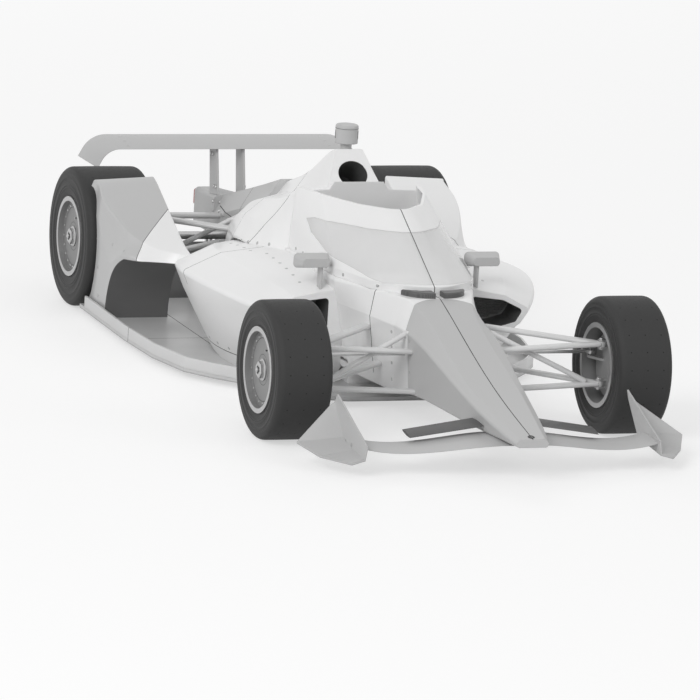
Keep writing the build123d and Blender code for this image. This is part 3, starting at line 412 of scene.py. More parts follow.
def fairing_recipe(start, tone_back):
    """Wheel fairing: main part in its own tone, white tip, painted shade in the arch underneath."""
    x, y, z = places(start)
    split = x - tip_seam_x - tip_seam_slope * (abs(y) - tip_seam_y)
    ahead, rise = x - arch_centre.x, z - arch_centre.y
    in_circle = ahead * ahead + rise * rise < (arch_radius + arch_lip) ** 2
    # painted shade: the inside of the wheel arch gets the dark tone
    painted_shade_arch = (in_circle | (x > arch_head.x)) * (z < arch_head.y + arch_lip)
    tone = tone_back + (white_tone - tone_back) * (split > 0)
    tone = tone * (1 - painted_shade_arch) + arch_painted_shade_tone * painted_shade_arch
    return painted(start, tone, seam(split) * (1 - painted_shade_arch), gloss=0.34)


dress(finish("cell_paint", cell_recipe), "monocoque")
dress(finish("sidepod_paint", sidepod_recipe), "sidepod_left", "sidepod_right")
dress(finish("cover_paint", cover_recipe), "engine_cover")
dress(finish("screen_frame_paint", screen_frame_recipe), "screen_frame")
dress(finish("left_fairing_paint", lambda start: fairing_recipe(start, white_tone)), "wheel_pod_left")


# Grey bodywork: nose cone, wings, mirrors, camera pod, gearbox casing and right wheel fairing,
# moulded in carbon and painted a mid grey. The gearbox shows its bolted joints as seams.
grey_tone = 0.53
flange_seam_x = -1.45
shelf_seam_z = 0.45
shelf_rear_x = -1.9


def grey_recipe(start):
    return painted(start, grey_tone, coat=0.08, gloss=0.42, shine=0.25)


def nose_recipe(start):
    middle = seam(places(start)[1]) * (facing(start)[2] > 0.2)
    return painted(start, grey_tone, middle, coat=0.12, gloss=0.4, shine=0.3)


def gearbox_recipe(start):
    x, _, z = places(start)
    joints = seam(x - flange_seam_x) | seam(z - shelf_seam_z) * (x > shelf_rear_x)
    return painted(start, grey_tone, joints, coat=0.2, gloss=0.42, shine=0.3)


dress(
    finish("grey_paint", grey_recipe),
    "front_wing", "wing_endplates", "rear_wing", "wing_pylons", "mirrors", "camera_pod", "attenuator",
)
dress(finish("nose_paint", nose_recipe), "nose_cone")
dress(finish("gearbox_paint", gearbox_recipe), "gearbox")
dress(finish("right_fairing_paint", lambda start: fairing_recipe(start, grey_tone)), "wheel_pod_right")


# Wraparound screen: a thick sheet of laminated plastic, pale and slightly milky, moulded to one
# curve and bonded into the white frame.
glass_tone = 0.94
glass_cover = 0.62


def glass_recipe(start):
    x, y, _ = places(start)
    smear = noise(start, 5, 4)
    middle = seam(y) * (x > screen_seam_rear_x)
    return surface(start, {
        "Base Color": glass_tone * (1 - middle) + seam_tone * middle,
        "Roughness": 0.05 + 0.08 * smear,
        "Coat Weight": 0.5,
        "IOR": 1.5,
        "Alpha": glass_cover + 0.06 * smear + 0.4 * middle,
    })


dress(finish("screen_sheet", glass_recipe), "screen_glass")


# Bare carbon: the outlets at the foot of the screen, front flaps, diffuser, dashboard and
# steering wheel are woven composite, cured in moulds and left under satin lacquer.
carbon_tone = 0.105
tow_width = 0.004
small_edge = 0.003


def wave(distance, pitch):
    """Ripple of this pitch along a distance."""
    return (distance * (math.tau / pitch)).math("SINE")


def carbon_recipe(start):
    x, y, z = places(start)
    weave = wave(x + 0.5 * z, 2 * tow_width) * wave(y + 0.5 * z, 2 * tow_width)
    return surface(start, {
        "Base Color": carbon_tone + 0.035 * weave,
        "Roughness": 0.46 + 0.08 * weave,
        "Specular IOR Level": 0.3,
        "Coat Weight": 0.1,
        "Coat Roughness": 0.2,
        "Normal": relief(start, weave, 0.2, 0.0005, small_edge),
    })


dress(
    finish("woven_carbon", carbon_recipe),
    "screen_vents", "wing_flaps", "diffuser", "dashboard", "steering_wheel",
)


# Floor and its rolled edges: flat composite panels butted together and painted pale, bolted
# under the car and scuffed along the edge that meets the road.
floor_plate_tone = 0.62
strip_tone = 0.7
scuffed_height = 0.006
scuffed_top_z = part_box("floor_plate")[0].z + scuffed_height
floor_seams_x = (0.42, -0.55)
floor_seam_y = 0.6
floor_seam_front_x = -0.2


def floor_plate_recipe(start, tone):
    x, y, z = places(start)
    low = z < scuffed_top_z
    front_gap, rear_gap = [seam(x - seam_x) for seam_x in floor_seams_x]
    long_gap = seam(abs(y) - floor_seam_y) * (x < floor_seam_front_x)
    gap = (front_gap | rear_gap | long_gap) * (1 - low)
    return painted(start, tone * (1 - 0.45 * low * noise(start, 60, 6)), gap, gloss=0.4)


dress(finish("floor_paint", lambda start: floor_plate_recipe(start, floor_plate_tone)), "floor_plate")
dress(finish("edge_strip_paint", lambda start: floor_plate_recipe(start, strip_tone)), "floor_fences")


# Suspension links: steel tubes drawn to an aerofoil section, painted light grey and hung from
# the cell and gearbox on spherical joints.
arm_tone = 0.7


def arm_recipe(start):
    return painted(start, arm_tone, gloss=0.38)


dress(
    finish("arm_paint", arm_recipe),
    "front_upper_arms", "front_lower_arms", "front_pushrods",
    "rear_upper_arms", "rear_lower_arms", "rear_pushrods",
)


# Cast and machined metal: engine block, uprights and radiator cores in cast alloy; driveshafts,
# track rods and tow eye in ground steel; exhausts in welded steel tube, tinted by heat.
cast_tone = 0.42
heat_length = 0.28
heat_stops = [
    # share of the heated length, colour
    (0.05, (0.2, 0.16, 0.14, 1)),
    (0.35, (0.34, 0.25, 0.17, 1)),
    (0.8, (0.24, 0.25, 0.32, 1)),
]
exhaust_low, exhaust_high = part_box("exhaust_pipes")


def cast_recipe(start):
    grain = noise(start, 260, 4)
    return surface(start, {
        "Base Color": cast_tone * (0.8 + 0.4 * noise(start, 9, 5)),
        "Metallic": 0.85,
        "Roughness": 0.42 + 0.2 * grain,
        "Normal": relief(start, grain, 0.4, 0.0008, small_edge),
    })


def grained(name, tone, rough, metal, scale, detail):
    """Finish whose tone and roughness each run from low to high with one grain."""
    def recipe(start):
        grain = noise(start, scale, detail)
        return surface(start, {
            "Base Color": tone[0] + (tone[1] - tone[0]) * grain,
            "Metallic": metal,
            "Roughness": rough[0] + (rough[1] - rough[0]) * grain,
        })
    return finish(name, recipe)


def exhaust_recipe(start):
    mottle = noise(start, 30, 4)
    heat = (places(start)[0] - exhaust_low.x) / heat_length + 0.2 * mottle
    return surface(start, {
        "Base Color": start.add("ShaderNodeValToRGB", {"stops": heat_stops}, {"Fac": heat}),
        "Metallic": 1,
        "Roughness": 0.3 + 0.2 * mottle,
    })


bright_steel = grained("bright_steel", tone=(0.45, 0.55), rough=(0.22, 0.38), metal=1, scale=700, detail=2)
dress(
    finish("cast_alloy", cast_recipe),
    "engine_block", "rear_uprights", "front_upright_left", "front_upright_right", "radiators",
)
dress(bright_steel, "driveshafts", "track_rods", "tow_eye")
dress(finish("heated_steel", exhaust_recipe), "exhaust_pipes")


# Tyres: slick racing tyres, moulded rubber pressed on the rims by air, with fine rings on the
# sidewalls, rounded shoulders and rows of small wear holes in a tread scuffed grey.
tyre_segments = 144
rubber_tone = 0.036
tread_tone = 0.04
tread_depth = 0.012
wear_hole = 0.0035
wear_rows = (-0.3, 0.0, 0.3)
wear_count = 24
ring_pitch = 0.004
rim_seat = 0.1912
bead_rows = [
    # height over the rim seat, inset from the tyre's half width
    (0.0, 0.014),
    (0.012, 0.0105),
    (0.028, 0.0052),
    (0.045, 0.0018),
]
rib_rows = [
    # place up the sidewall as a share of it, height of the rib
    (0.32, 0.0016),
    (0.42, 0.0016),
    (0.72, 0.0012),
]
rib_lift = 0.012
rib_top_half = 0.0015
rib_foot_half = 0.003
wall_inset = 0.002
shoulder_radius = 0.034
shoulder_steps = 8
shoulder_inset = 0.0008
crown_drop = 0.0004


def lofted(rings, caps=True):
    """Vertices and faces of a skin over rings of points, each anticlockwise seen from the next."""
    count = len(rings[0])
    vertices = [point for ring in rings for point in ring]
    faces = []
    for base in range(0, len(vertices) - count, count):
        for i in range(count):
            j = (i + 1) % count
            faces.append((base + i, base + j, base + count + j, base + count + i))
    if caps:
        faces.append(tuple(reversed(range(count))))
        faces.append(tuple(range(len(vertices) - count, len(vertices))))
    return vertices, faces


def turned(profile, origin, axis, count=24, caps=True):
    """Skin of rows of radius and height turned about an axis."""
    axis = Vector(axis).normalized()
    across = axis.orthogonal().normalized()
    third = axis.cross(across)
    turns = [math.tau * i / count for i in range(count)]
    spokes = [math.cos(turn) * across + math.sin(turn) * third for turn in turns]
    rings = []
    for radius, height in profile:
        rings.append([Vector(origin) + height * axis + radius * out for out in spokes])
    return lofted(rings, caps)


def joined(shapes):
    """One list of vertices and faces from several."""
    vertices = []
    faces = []
    for part_vertices, part_faces in shapes:
        base = len(vertices)
        vertices += part_vertices
        faces += [tuple(base + i for i in face) for face in part_faces]
    return vertices, faces


def piece(name, shape, finish_made, body, crease=38):
    """New mesh piece that rides on a body, smooth but for edges sharper than the crease angle."""
    mesh = bpy.data.meshes.new(name)
    mesh.from_pydata(shape[0], [], shape[1])
    mesh.update()
    mesh.shade_smooth()
    mesh.set_sharp_from_angle(angle=math.radians(crease))
    mesh.materials.append(finish_made)
    made = bpy.data.objects.new(name, mesh)
    bpy.context.scene.collection.objects.link(made)
    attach(made, body)
    return made


def tyre_profile(radius, width):
    """Rows of radius and width of half a tyre's outside, from the bead to the middle of the tread."""
    half = width / 2
    rows = [(rim_seat + up, half - inset) for up, inset in bead_rows]
    wall_height = radius - shoulder_radius - rim_seat
    for share, rib in rib_rows:
        middle = rim_seat + share * wall_height + rib_lift
        rib_outline = ((-rib_foot_half, 0), (-rib_top_half, rib), (rib_top_half, rib), (rib_foot_half, 0))
        rows += [(middle + offset, half - wall_inset + lift) for offset, lift in rib_outline]
    for step in range(shoulder_steps + 1):
        turn = math.pi / 2 * step / shoulder_steps
        rise, run = shoulder_radius * math.sin(turn), shoulder_radius * math.cos(turn)
        inset = shoulder_radius + shoulder_inset
        rows.append((radius - inset + rise, half - inset + run))
    return rows + [(radius - crown_drop, 0.6 * half), (radius, 0.3 * half), (radius, 0.0)]


def reach_and_rise(start, centre):
    """Distance of each point from a wheel's axle, and how far it lies ahead and above."""
    x, _, z = places(start)
    ahead, up = x - centre.x, z - centre.z
    return (ahead * ahead + up * up).math("SQRT"), ahead, up


def tyre_recipe(centre, radius, width):
    """Rubber finish for one wheel, drawn by angle round its axle and place across it."""
    def recipe(start):
        reach, ahead, up = reach_and_rise(start, centre)
        tread = reach > radius - tread_depth
        step = (up.math("ARCTAN2", ahead) * (wear_count / math.tau)).math("FRACT")
        around = (step - 0.5) * (math.tau * radius / wear_count)
        across = places(start)[1] - centre.y
        inner, middle, outer = [
            around * around + (across - row * width) * (across - row * width) < wear_hole ** 2
            for row in wear_rows
        ]
        hole_with_painted_shade = (inner | middle | outer) * tread
        scuff = noise(start, 60, 6)
        rings = wave(reach, ring_pitch) * (1 - tread)
        tone = rubber_tone + (tread_tone - rubber_tone) * tread * (0.6 + 0.8 * scuff)
        bumps = 0.12 * rings + 0.5 * noise(start, 900, 2) - 1.5 * hole_with_painted_shade
        return surface(start, {
            # the wear holes are sunk by the bumps and also painted darker: painted shade in the holes
            "Base Color": tone * (1 - 0.7 * hole_with_painted_shade),
            "Roughness": 0.58 + 0.2 * scuff * tread,
            "Specular IOR Level": 0.3,
            "Normal": relief(start, bumps, 0.5, 0.001),
        })
    return recipe


wheels = {}
for corner in ("front_left", "front_right", "rear_left", "rear_right"):
    low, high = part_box(corner + "_tyre")
    centre = (low + high) / 2
    radius = (high.z - low.z) / 2
    width = high.y - low.y
    wheels[corner] = (centre, width / 2, math.copysign(1, centre.y))
    half_rows = tyre_profile(radius, width)
    rows = [(reach, -across) for reach, across in half_rows] + half_rows[-2::-1]
    rows.append(rows[0])
    slick = turned(rows, centre, (0, 1, 0), tyre_segments, caps=False)
    rubber = finish(corner + "_rubber", tyre_recipe(centre, radius, width))
    tyre = piece(corner + "_slick", slick, rubber, corner + "_wheel", crease=60)
    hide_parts(corner + "_tyre")


# Wheels: forged alloy rims with a closed disc, painted dark silver, with a machined lip, a
# ring of small bolts, a valve and one big hexagonal centre nut with its locking pin.
disc_tone = 0.27
lip_tone = 0.5
lip_inner = 0.181
groove_rings = ((0.148, 0.0018), (0.072, 0.0014))  # radius, half width
lathe_pitch = 0.0016
disc_recess = 0.03
nut_seat = 0.001
nut_washer = [(0.052, 0), (0.052, 0.004), (0.047, 0.008), (0.044, 0.008)]
nut_lift = 0.008
nut_radius = 0.041
nut_height = 0.016
nut_bore = 0.55
nut_pin = [(0.012, 0.016), (0.012, 0.03), (0.008, 0.034)]
disc_bolt_ring = 0.158
disc_bolt_count = 20
disc_bolt_radius = 0.006
disc_bolt_height = 0.005
bolt_sink = 0.001
valve_ring = 0.14
valve_turn = 0.9
valve_sink = 0.002
valve_profile = [
    (0.006, 0), (0.006, 0.004), (0.0038, 0.006), (0.0038, 0.018), (0.0046, 0.019), (0.0046, 0.027),
]


def rim_recipe(centre):
    """Silver wheel paint, brighter and machined on the lip, with faint rings turned in it."""
    def recipe(start):
        reach = reach_and_rise(start, centre)[0]
        lip = reach > lip_inner
        outer, inner = [abs(reach - ring) < half for ring, half in groove_rings]
        groove_with_painted_shade = outer | inner
        lines = wave(reach, lathe_pitch)
        dust = noise(start, 25, 5)
        tone = disc_tone + (lip_tone - disc_tone) * lip
        return surface(start, {
            # the ring grooves are sunk by the bumps and also painted darker: painted shade in the grooves
            "Base Color": tone * (0.92 + 0.16 * dust) * (1 - 0.7 * groove_with_painted_shade),
            "Metallic": 0.35 + 0.5 * lip,
            "Roughness": 0.42 - 0.14 * lip + 0.15 * dust,
            "Normal": relief(start, 0.15 * lines * lip - groove_with_painted_shade, 0.4, 0.0008),
        })
    return recipe


def hex_nut(place, axis, radius, height, bore=0.4):
    """Chamfered six-sided nut with a turned hole in its face, the bore a share of its radius."""
    rows = [(radius, 0), (radius, 0.75 * height), (0.88 * radius, height)]
    rows += [(bore * radius, height), (bore * radius, 0.5 * height)]
    return turned(rows, place, axis, 6)


def spoke(turn):
    """Unit vector out from an axle that lies across the car, at a turn from straight ahead."""
    return Vector((math.cos(turn), 0, math.sin(turn)))


for corner, (centre, half_width, side) in wheels.items():
    dress(finish(corner + "_wheel_paint", rim_recipe(centre)), corner + "_rim")
    outward = Vector((0, side, 0))
    disc_face = centre + (half_width - disc_recess) * outward
    nut_foot = disc_face + nut_seat * outward
    nut = joined([
        turned(nut_washer, nut_foot, outward, 48),
        hex_nut(nut_foot + nut_lift * outward, outward, nut_radius, nut_height, nut_bore),
        turned(nut_pin, nut_foot, outward, 20),
    ])
    piece(corner + "_centre_nut", nut, bright_steel, corner + "_wheel", crease=20)
    studs = []
    for i in range(disc_bolt_count):
        out = spoke(math.tau * (i + 0.5) / disc_bolt_count)
        bolt_foot = disc_face + disc_bolt_ring * out - bolt_sink * outward
        studs.append(hex_nut(bolt_foot, outward, disc_bolt_radius, disc_bolt_height))
    valve_foot = disc_face + valve_ring * spoke(valve_turn) - valve_sink * outward
    studs.append(turned(valve_profile, valve_foot, outward, 14))
    piece(corner + "_disc_bolts", joined(studs), bright_steel, corner + "_wheel", crease=25)


# Front brakes: a four-piston caliper of coated cast alloy that straddles the edge of each
# upright's drum, bolted to the upright so that it turns with the steering.
caliper_inner = 0.112
caliper_outer = 0.168
caliper_half_turn = math.radians(34)
caliper_half_width = 0.024
caliper_bevel = 0.005
caliper_steps = 14
caliper_inset = 0.064
piston_turns = (-0.3, 0.3)
piston_rings = (0.126, 0.152)
piston_cap = [(0.011, -0.002), (0.011, 0.004), (0.008, 0.007)]
caliper_coating = grained(
    "caliper_coating", tone=(0.1, 0.15), rough=(0.35, 0.55), metal=0.6, scale=300, detail=3
)
caliper_section = [
    # reach from the axle, place across the caliper, anticlockwise
    (caliper_inner + caliper_bevel, -caliper_half_width),
    (caliper_outer - caliper_bevel, -caliper_half_width),
    (caliper_outer, caliper_bevel - caliper_half_width),
    (caliper_outer, caliper_half_width - caliper_bevel),
    (caliper_outer - caliper_bevel, caliper_half_width),
    (caliper_inner + caliper_bevel, caliper_half_width),
    (caliper_inner, caliper_half_width - caliper_bevel),
    (caliper_inner, caliper_bevel - caliper_half_width),
]
for corner in ("front_left", "front_right"):
    centre, _, side = wheels[corner]
    middle = centre - Vector((0, side * caliper_inset, 0))
    rings = []
    for step in range(caliper_steps + 1):
        out = spoke(caliper_half_turn * (2 * step / caliper_steps - 1))
        rings.append([middle + reach * out + Vector((0, across, 0)) for reach, across in caliper_section])
    blocks = [lofted(rings)]
    inward = Vector((0, -side, 0))
    for turn in piston_turns:
        for reach in piston_rings:
            cap_foot = middle + reach * spoke(turn) + caliper_half_width * inward
            blocks.append(turned(piston_cap, cap_foot, inward, 18))
    piece(corner + "_caliper", joined(blocks), caliper_coating, corner + "_upright")


# Seat insert: a moulded foam pad in dark flame-proof cloth, with raised sides and sewn channels,
# laid in the cockpit along the seat's line.
cloth_tone = 0.075
thread_pitch = 0.0022
seat_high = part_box("seat")[1]
seat_front = Vector((seat_high.x, 0, 0.218))
seat_knee = Vector((0.135, 0, 0.25))
seat_top = Vector((-0.035, 0, seat_high.z))
knee_share = 0.58
knee_start = 0.5
knee_end = 0.66
seat_side_gap = 0.004
seat_end_gap = 0.004
seat_depth = 0.034
seat_rows = 46
seat_columns = 30
end_taper = 0.04
end_roll = 0.016
bolster_height = 0.03
bolster_start = 0.62
bolster_run = 0.2
side_roll = 0.022
side_roll_start = 0.9
channel_pitch = 0.07
channel_depth = 0.006
channel_end = 0.6


def cloth_recipe(start):
    x, y, z = places(start)
    weave = wave(x + z, thread_pitch) * wave(y, thread_pitch)
    return surface(start, {
        "Base Color": cloth_tone * (0.8 + 0.4 * noise(start, 14, 5)) + 0.012 * weave,
        "Roughness": 0.85,
        "Sheen Weight": 0.3,
        "Normal": relief(start, weave, 0.35, 0.0006),
    })


def seat_line(share):
    """Point on the seat's line of two straights, from its front edge to its top."""
    if share < knee_share:
        return seat_front.lerp(seat_knee, share / knee_share)
    return seat_knee.lerp(seat_top, (share - knee_share) / (1 - knee_share))


def seat_point(share):
    """Point and upward normal on the seat's line, with its knee rounded."""
    if knee_start < share < knee_end:
        blend = (share - knee_start) / (knee_end - knee_start)
        first, last = seat_line(knee_start), seat_line(knee_end)
        point = (1 - blend) ** 2 * first + 2 * blend * (1 - blend) * seat_knee + blend ** 2 * last
        along = (1 - blend) * (seat_knee - first) + blend * (last - seat_knee)
    else:
        point = seat_line(share)
        along = seat_line(share + 0.01) - seat_line(share - 0.01)
    normal = Vector((0, 1, 0)).cross(along).normalized()
    return point, normal if normal.z > 0 or normal.x > 0 else -normal


def bolster_rise(edge):
    """Height of the seat's raised side, the edge being a share of its half width."""
    return bolster_height * max(0, min(1, (edge - bolster_start) / bolster_run))


def seat_shape():
    """Closed pad: a quilted top, sides that rise, and a plain underside."""
    half = seat_high.y - seat_side_gap
    length = (seat_knee - seat_front).length + (seat_top - seat_knee).length
    rings = []
    for i in range(seat_rows + 1):
        share = seat_end_gap + (1 - 2 * seat_end_gap) * i / seat_rows
        point, normal = seat_point(share)
        taper = min(1, share / end_taper, (1 - share) / end_taper)
        sewn = channel_depth * (1 - abs(math.sin(math.pi * share * length / channel_pitch))) ** 4
        top, under = [], []
        for j in range(seat_columns + 1):
            y = half * (2 * j / seat_columns - 1)
            edge = abs(y) / half
            roll = side_roll * max(0, (edge - side_roll_start) / (1 - side_roll_start)) ** 2
            lift = bolster_rise(edge) * taper - roll - end_roll * (1 - taper) ** 2
            lift -= sewn if edge < channel_end else 0
            top.append(Vector((point.x, y, point.z)) + lift * normal)
            under.append(Vector((point.x, y, point.z)) - seat_depth * normal)
        rings.append(top + under[::-1])
    vertices, faces = lofted(rings, caps=False)
    count = len(rings[0])
    for j in range(seat_columns):
        end = (j, j + 1, count - 2 - j, count - 1 - j)
        faces += [end[::-1], tuple(seat_rows * count + i for i in end)]
    return vertices, faces


padding_cloth = finish("padding_cloth", cloth_recipe)
seat_pad = piece("seat_pad", seat_shape(), padding_cloth, "chassis", crease=70)
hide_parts("seat")


# Head surround: a horseshoe of energy-absorbing foam in the same cloth, dropped in round the
# cockpit rim. A remeshed copy of its solid is shrunk a little and swells back under pressure.
foam_weld = 0.0005
foam_voxel = 0.008
foam_rounds = 10
foam_inset = 0.007
foam_pressure = 4
foam_steps = 20
foam_reach = 0.009


def as_shaped(thing):
    """Mesh of an object as its modifiers leave it."""
    graph = bpy.context.evaluated_depsgraph_get()
    return bpy.data.meshes.new_from_object(thing.evaluated_get(graph))


head_pad = bpy.data.objects.new("head_pad", nodes["headrest"].data.copy())
bpy.context.scene.collection.objects.link(head_pad)
weld = head_pad.modifiers.new("weld", "WELD")
weld.merge_threshold = foam_weld
remesh = head_pad.modifiers.new("foam", "REMESH")
remesh.mode = "VOXEL"
remesh.voxel_size = foam_voxel
soften = head_pad.modifiers.new("soften", "SMOOTH")
soften.factor = 0.5
soften.iterations = foam_rounds
foam_mesh = as_shaped(head_pad)
head_pad.modifiers.clear()
head_pad.data = foam_mesh
shrunk = [vertex.co - foam_inset * vertex.normal for vertex in foam_mesh.vertices]
for vertex, place in zip(foam_mesh.vertices, shrunk):
    vertex.co = place
filling = head_pad.modifiers.new("filling", "CLOTH")
filling.settings.use_pressure = True
filling.settings.uniform_pressure_force = foam_pressure
filling.settings.effector_weights.gravity = 0
for step in range(1, foam_steps + 1):
    bpy.context.scene.frame_set(step)
swollen = as_shaped(head_pad)
head_pad.modifiers.clear()
bpy.context.scene.frame_set(1)
for vertex, filled, place in zip(foam_mesh.vertices, swollen.vertices, shrunk):
    move = filled.co - place
    vertex.co = place + move * min(1, foam_reach / max(move.length, 1e-9))
foam_mesh.shade_smooth()
foam_mesh.materials.clear()
foam_mesh.materials.append(padding_cloth)
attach(head_pad, "chassis")
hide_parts("headrest")


# Harness: flat belts of ribbed webbing over the seat, two for the shoulders and two for the lap,
# joined in a round turn buckle, with a steel slide adjuster on each shoulder belt.
belt_tone = 0.16
rib_pitch = 0.003
belt_half_width = 0.024
belt_thickness = 0.0026
belt_lift = 0.008
buckle_share = 0.44
buckle_lift = 0.012
buckle_profile = [(0.034, 0), (0.034, 0.008), (0.03, 0.012), (0.02, 0.013), (0.018, 0.018), (0.01, 0.019)]
belt_steps = 18
shoulder_start = 0.46
shoulder_end = 0.96
shoulder_spread = (0.018, 0.07)
spread_run = 0.2
slide_step = 10
slide_half_length = 0.014
slide_lift = 0.001
slide_width = 1.16  # times the belt's
slide_thickness = 1.8  # times the belt's
lap_steps = 12
lap_start = 0.02
lap_length = 0.168
lap_sweep = 0.03
lap_lift = 0.001
lap_seat_half = 0.196


def belt_recipe(start):
    x, _, z = places(start)
    ribs = wave(x + z, rib_pitch)
    return surface(start, {
        "Base Color": belt_tone * (0.9 + 0.1 * ribs),
        "Roughness": 0.7,
        "Normal": relief(start, ribs, 0.3, 0.0005),
    })


def strap(points, sideways):
    """Flat strap through pairs of point and upward normal; sideways times normal points along it."""
    corners = ((-1, 0), (1, 0), (1, 1), (-1, 1))
    rings = []
    for point, normal in points:
        across, over = belt_half_width * sideways, belt_thickness * normal
        rings.append([point + side * across + lift * over for side, lift in corners])
    return lofted(rings)


buckle_point, buckle_normal = seat_point(buckle_share)
buckle_point = buckle_point + buckle_lift * buckle_normal
straps = []
fittings = []
for side in (-1, 1):
    shoulder = []
    for i in range(belt_steps + 1):
        share = shoulder_start + (shoulder_end - shoulder_start) * i / belt_steps
        point, normal = seat_point(share)
        swing = min(1, (share - buckle_share) / spread_run)
        across = side * (shoulder_spread[0] + shoulder_spread[1] * swing)
        shoulder.append((Vector((point.x, across, point.z)) + belt_lift * normal, normal))
    straps.append(strap(shoulder, Vector((0, -1, 0))))
    point, normal = shoulder[slide_step]
    along = (shoulder[slide_step + 1][0] - shoulder[slide_step - 1][0]).normalized()
    slide = []
    for reach in (-slide_half_length, slide_half_length):
        slide.append((point + reach * along + slide_lift * normal, slide_thickness * normal))
    fittings.append(strap(slide, Vector((0, -slide_width, 0))))
    lap = []
    for i in range(lap_steps + 1):
        reach = lap_start + lap_length * i / lap_steps
        rise = bolster_rise(reach / lap_seat_half) + lap_lift
        sweep = Vector((-lap_sweep * i / lap_steps, side * reach, 0))
        lap.append((buckle_point + sweep + rise * buckle_normal, buckle_normal))
    straps.append(strap(lap, Vector((-side, 0, 0))))
piece("harness_belts", joined(straps), finish("belt_webbing", belt_recipe), "chassis")
fittings.append(turned(buckle_profile, buckle_point, buckle_normal, 40))
piece("harness_buckle", joined(fittings), bright_steel, "chassis")


# Steering wheel: a carbon yoke with two rubber grips, a small display, push buttons, three rotary
# switches and shift paddles behind, all screwed to it. It turns with its column.
wheel_origin = Vector((0.5, 0, 0.53))
column_tilt = math.radians(16)
wheel_ahead = Vector((math.cos(column_tilt), 0, -math.sin(column_tilt)))
wheel_up = Vector((math.sin(column_tilt), 0, math.cos(column_tilt)))
wheel_left = Vector((0, 1, 0))
toward_seat = -wheel_ahead
grip_tone = 0.03
grip_reach = 0.118
grip_bow = 0.012
grip_half_length = 0.06
grip_ahead = 0.012
grip_rows = [
    # share of the half length, radius
    (-1, 0.0125), (-0.75, 0.0165), (-0.5, 0.0172), (-0.2, 0.0165),
    (0.2, 0.0165), (0.5, 0.0172), (0.75, 0.0165), (1, 0.0125),
]
display_size = (0.07, 0.042, 0.005)
display_up = 0.012
display_depth = 0.006
display_chamfer = 0.0015
display_bar_pitch = 220
display_bars_half = 0.03
button_rows = [
    # across, up, radius, tone
    (0.045, 0.05, 0.0065, 0.5),
    (-0.045, 0.05, 0.0065, 0.3),
    (0.05, 0.0, 0.0055, 0.12),
    (-0.05, 0.0, 0.0055, 0.6),
]
bezel_width = 0.002
knob_tone = 0.09
knob_places = [(0.032, -0.048), (0.0, -0.052), (-0.032, -0.048)]
knob_profile = [(0.011, -0.001), (0.011, 0.003), (0.0085, 0.004), (0.0085, 0.012), (0.0072, 0.0135)]
paddle_size = (0.052, 0.046, 0.012)
paddle_place = (0.09, 0.012, 0.03)
paddle_depth = 0.004
paddle_chamfer = 0.001


def on_wheel(across, up, ahead=0.0):
    """Point on the steering wheel, ahead being away from the seat."""
    return wheel_origin + across * wheel_left + up * wheel_up + ahead * wheel_ahead


def tube(points, radii, count=16):
    """Round bar through points, with its radius at each."""
    rings = []
    across = (points[1] - points[0]).orthogonal()
    for i, point in enumerate(points):
        along = (points[min(i + 1, len(points) - 1)] - points[max(i - 1, 0)]).normalized()
        across = (across - across.dot(along) * along).normalized()
        third = along.cross(across)
        turns = [math.tau * k / count for k in range(count)]
        rings.append([point + radii[i] * (math.cos(t) * across + math.sin(t) * third) for t in turns])
    return lofted(rings)


def rounded(width, height, radius, steps=6):
    """Outline of a rectangle with rounded corners, anticlockwise."""
    outline = []
    for corner, (sx, sy) in enumerate(((1, 1), (-1, 1), (-1, -1), (1, -1))):
        for step in range(steps + 1):
            turn = math.pi / 2 * (corner + step / steps)
            across = sx * (width / 2 - radius) + radius * math.cos(turn)
            outline.append((across, sy * (height / 2 - radius) + radius * math.sin(turn)))
    return outline


def slab(outline, origin, right, up, depth, chamfer):
    """Plate of an outline standing up from the plane of right and up, its top edge chamfered."""
    outward = right.cross(up)
    shrink = 1 - 1.6 * chamfer / max(abs(u) + abs(v) for u, v in outline)
    rows = [(1, 0), (1, depth - chamfer), (shrink, depth)]
    return lofted([
        [origin + scale * (u * right + v * up) + lift * outward for u, v in outline] for scale, lift in rows
    ])


def grip_recipe(start):
    place = start.add("ShaderNodeTexCoord", output="Object")
    dots = start.add("ShaderNodeTexVoronoi", inputs={"Vector": place, "Scale": 420})
    return surface(start, {
        "Base Color": grip_tone + 0.02 * dots,
        "Roughness": 0.7,
        "Normal": relief(start, dots, 0.5, 0.0008),
    })


def display_recipe(start):
    y = places(start)[1]
    bars = ((y * display_bar_pitch).math("FRACT") < 0.6) * (abs(y) < display_bars_half)
    return surface(start, {"Base Color": 0.012 + 0.03 * bars, "Roughness": 0.12, "Coat Weight": 0.6})


def plastic(name, tone):
    """Moulded switch plastic of one tone, with a fine grain."""
    return grained(name, tone=(0.9 * tone, 1.1 * tone), rough=(0.38, 0.48), metal=0, scale=900, detail=2)


grips = []
for side in (-1, 1):
    path = [
        on_wheel(side * (grip_reach - grip_bow * share ** 2), grip_half_length * share, grip_ahead)
        for share, _ in grip_rows
    ]
    grips.append(tube(path, [grip_radius for _, grip_radius in grip_rows]))
grip_rubber = finish("grip_rubber", grip_recipe)
piece("wheel_grips", joined(grips), grip_rubber, "steering_wheel", crease=60)
dark_glass = finish("display_glass", display_recipe)
display = slab(
    rounded(*display_size), on_wheel(0, display_up), -wheel_left, wheel_up, display_depth, display_chamfer
)
piece("wheel_display", display, dark_glass, "steering_wheel")
for i, (across, up, cap, tone) in enumerate(button_rows):
    bezel = cap + bezel_width
    button = [(bezel, -0.001), (bezel, 0.003), (cap, 0.0034), (cap, 0.006), (0.8 * cap, 0.0072)]
    piece(f"wheel_button_{i + 1}", turned(button, on_wheel(across, up), toward_seat),
          plastic(f"button_plastic_{i + 1}", tone), "steering_wheel")
knobs = [turned(knob_profile, on_wheel(across, up), toward_seat, 12) for across, up in knob_places]
paddle_outline = rounded(*paddle_size)
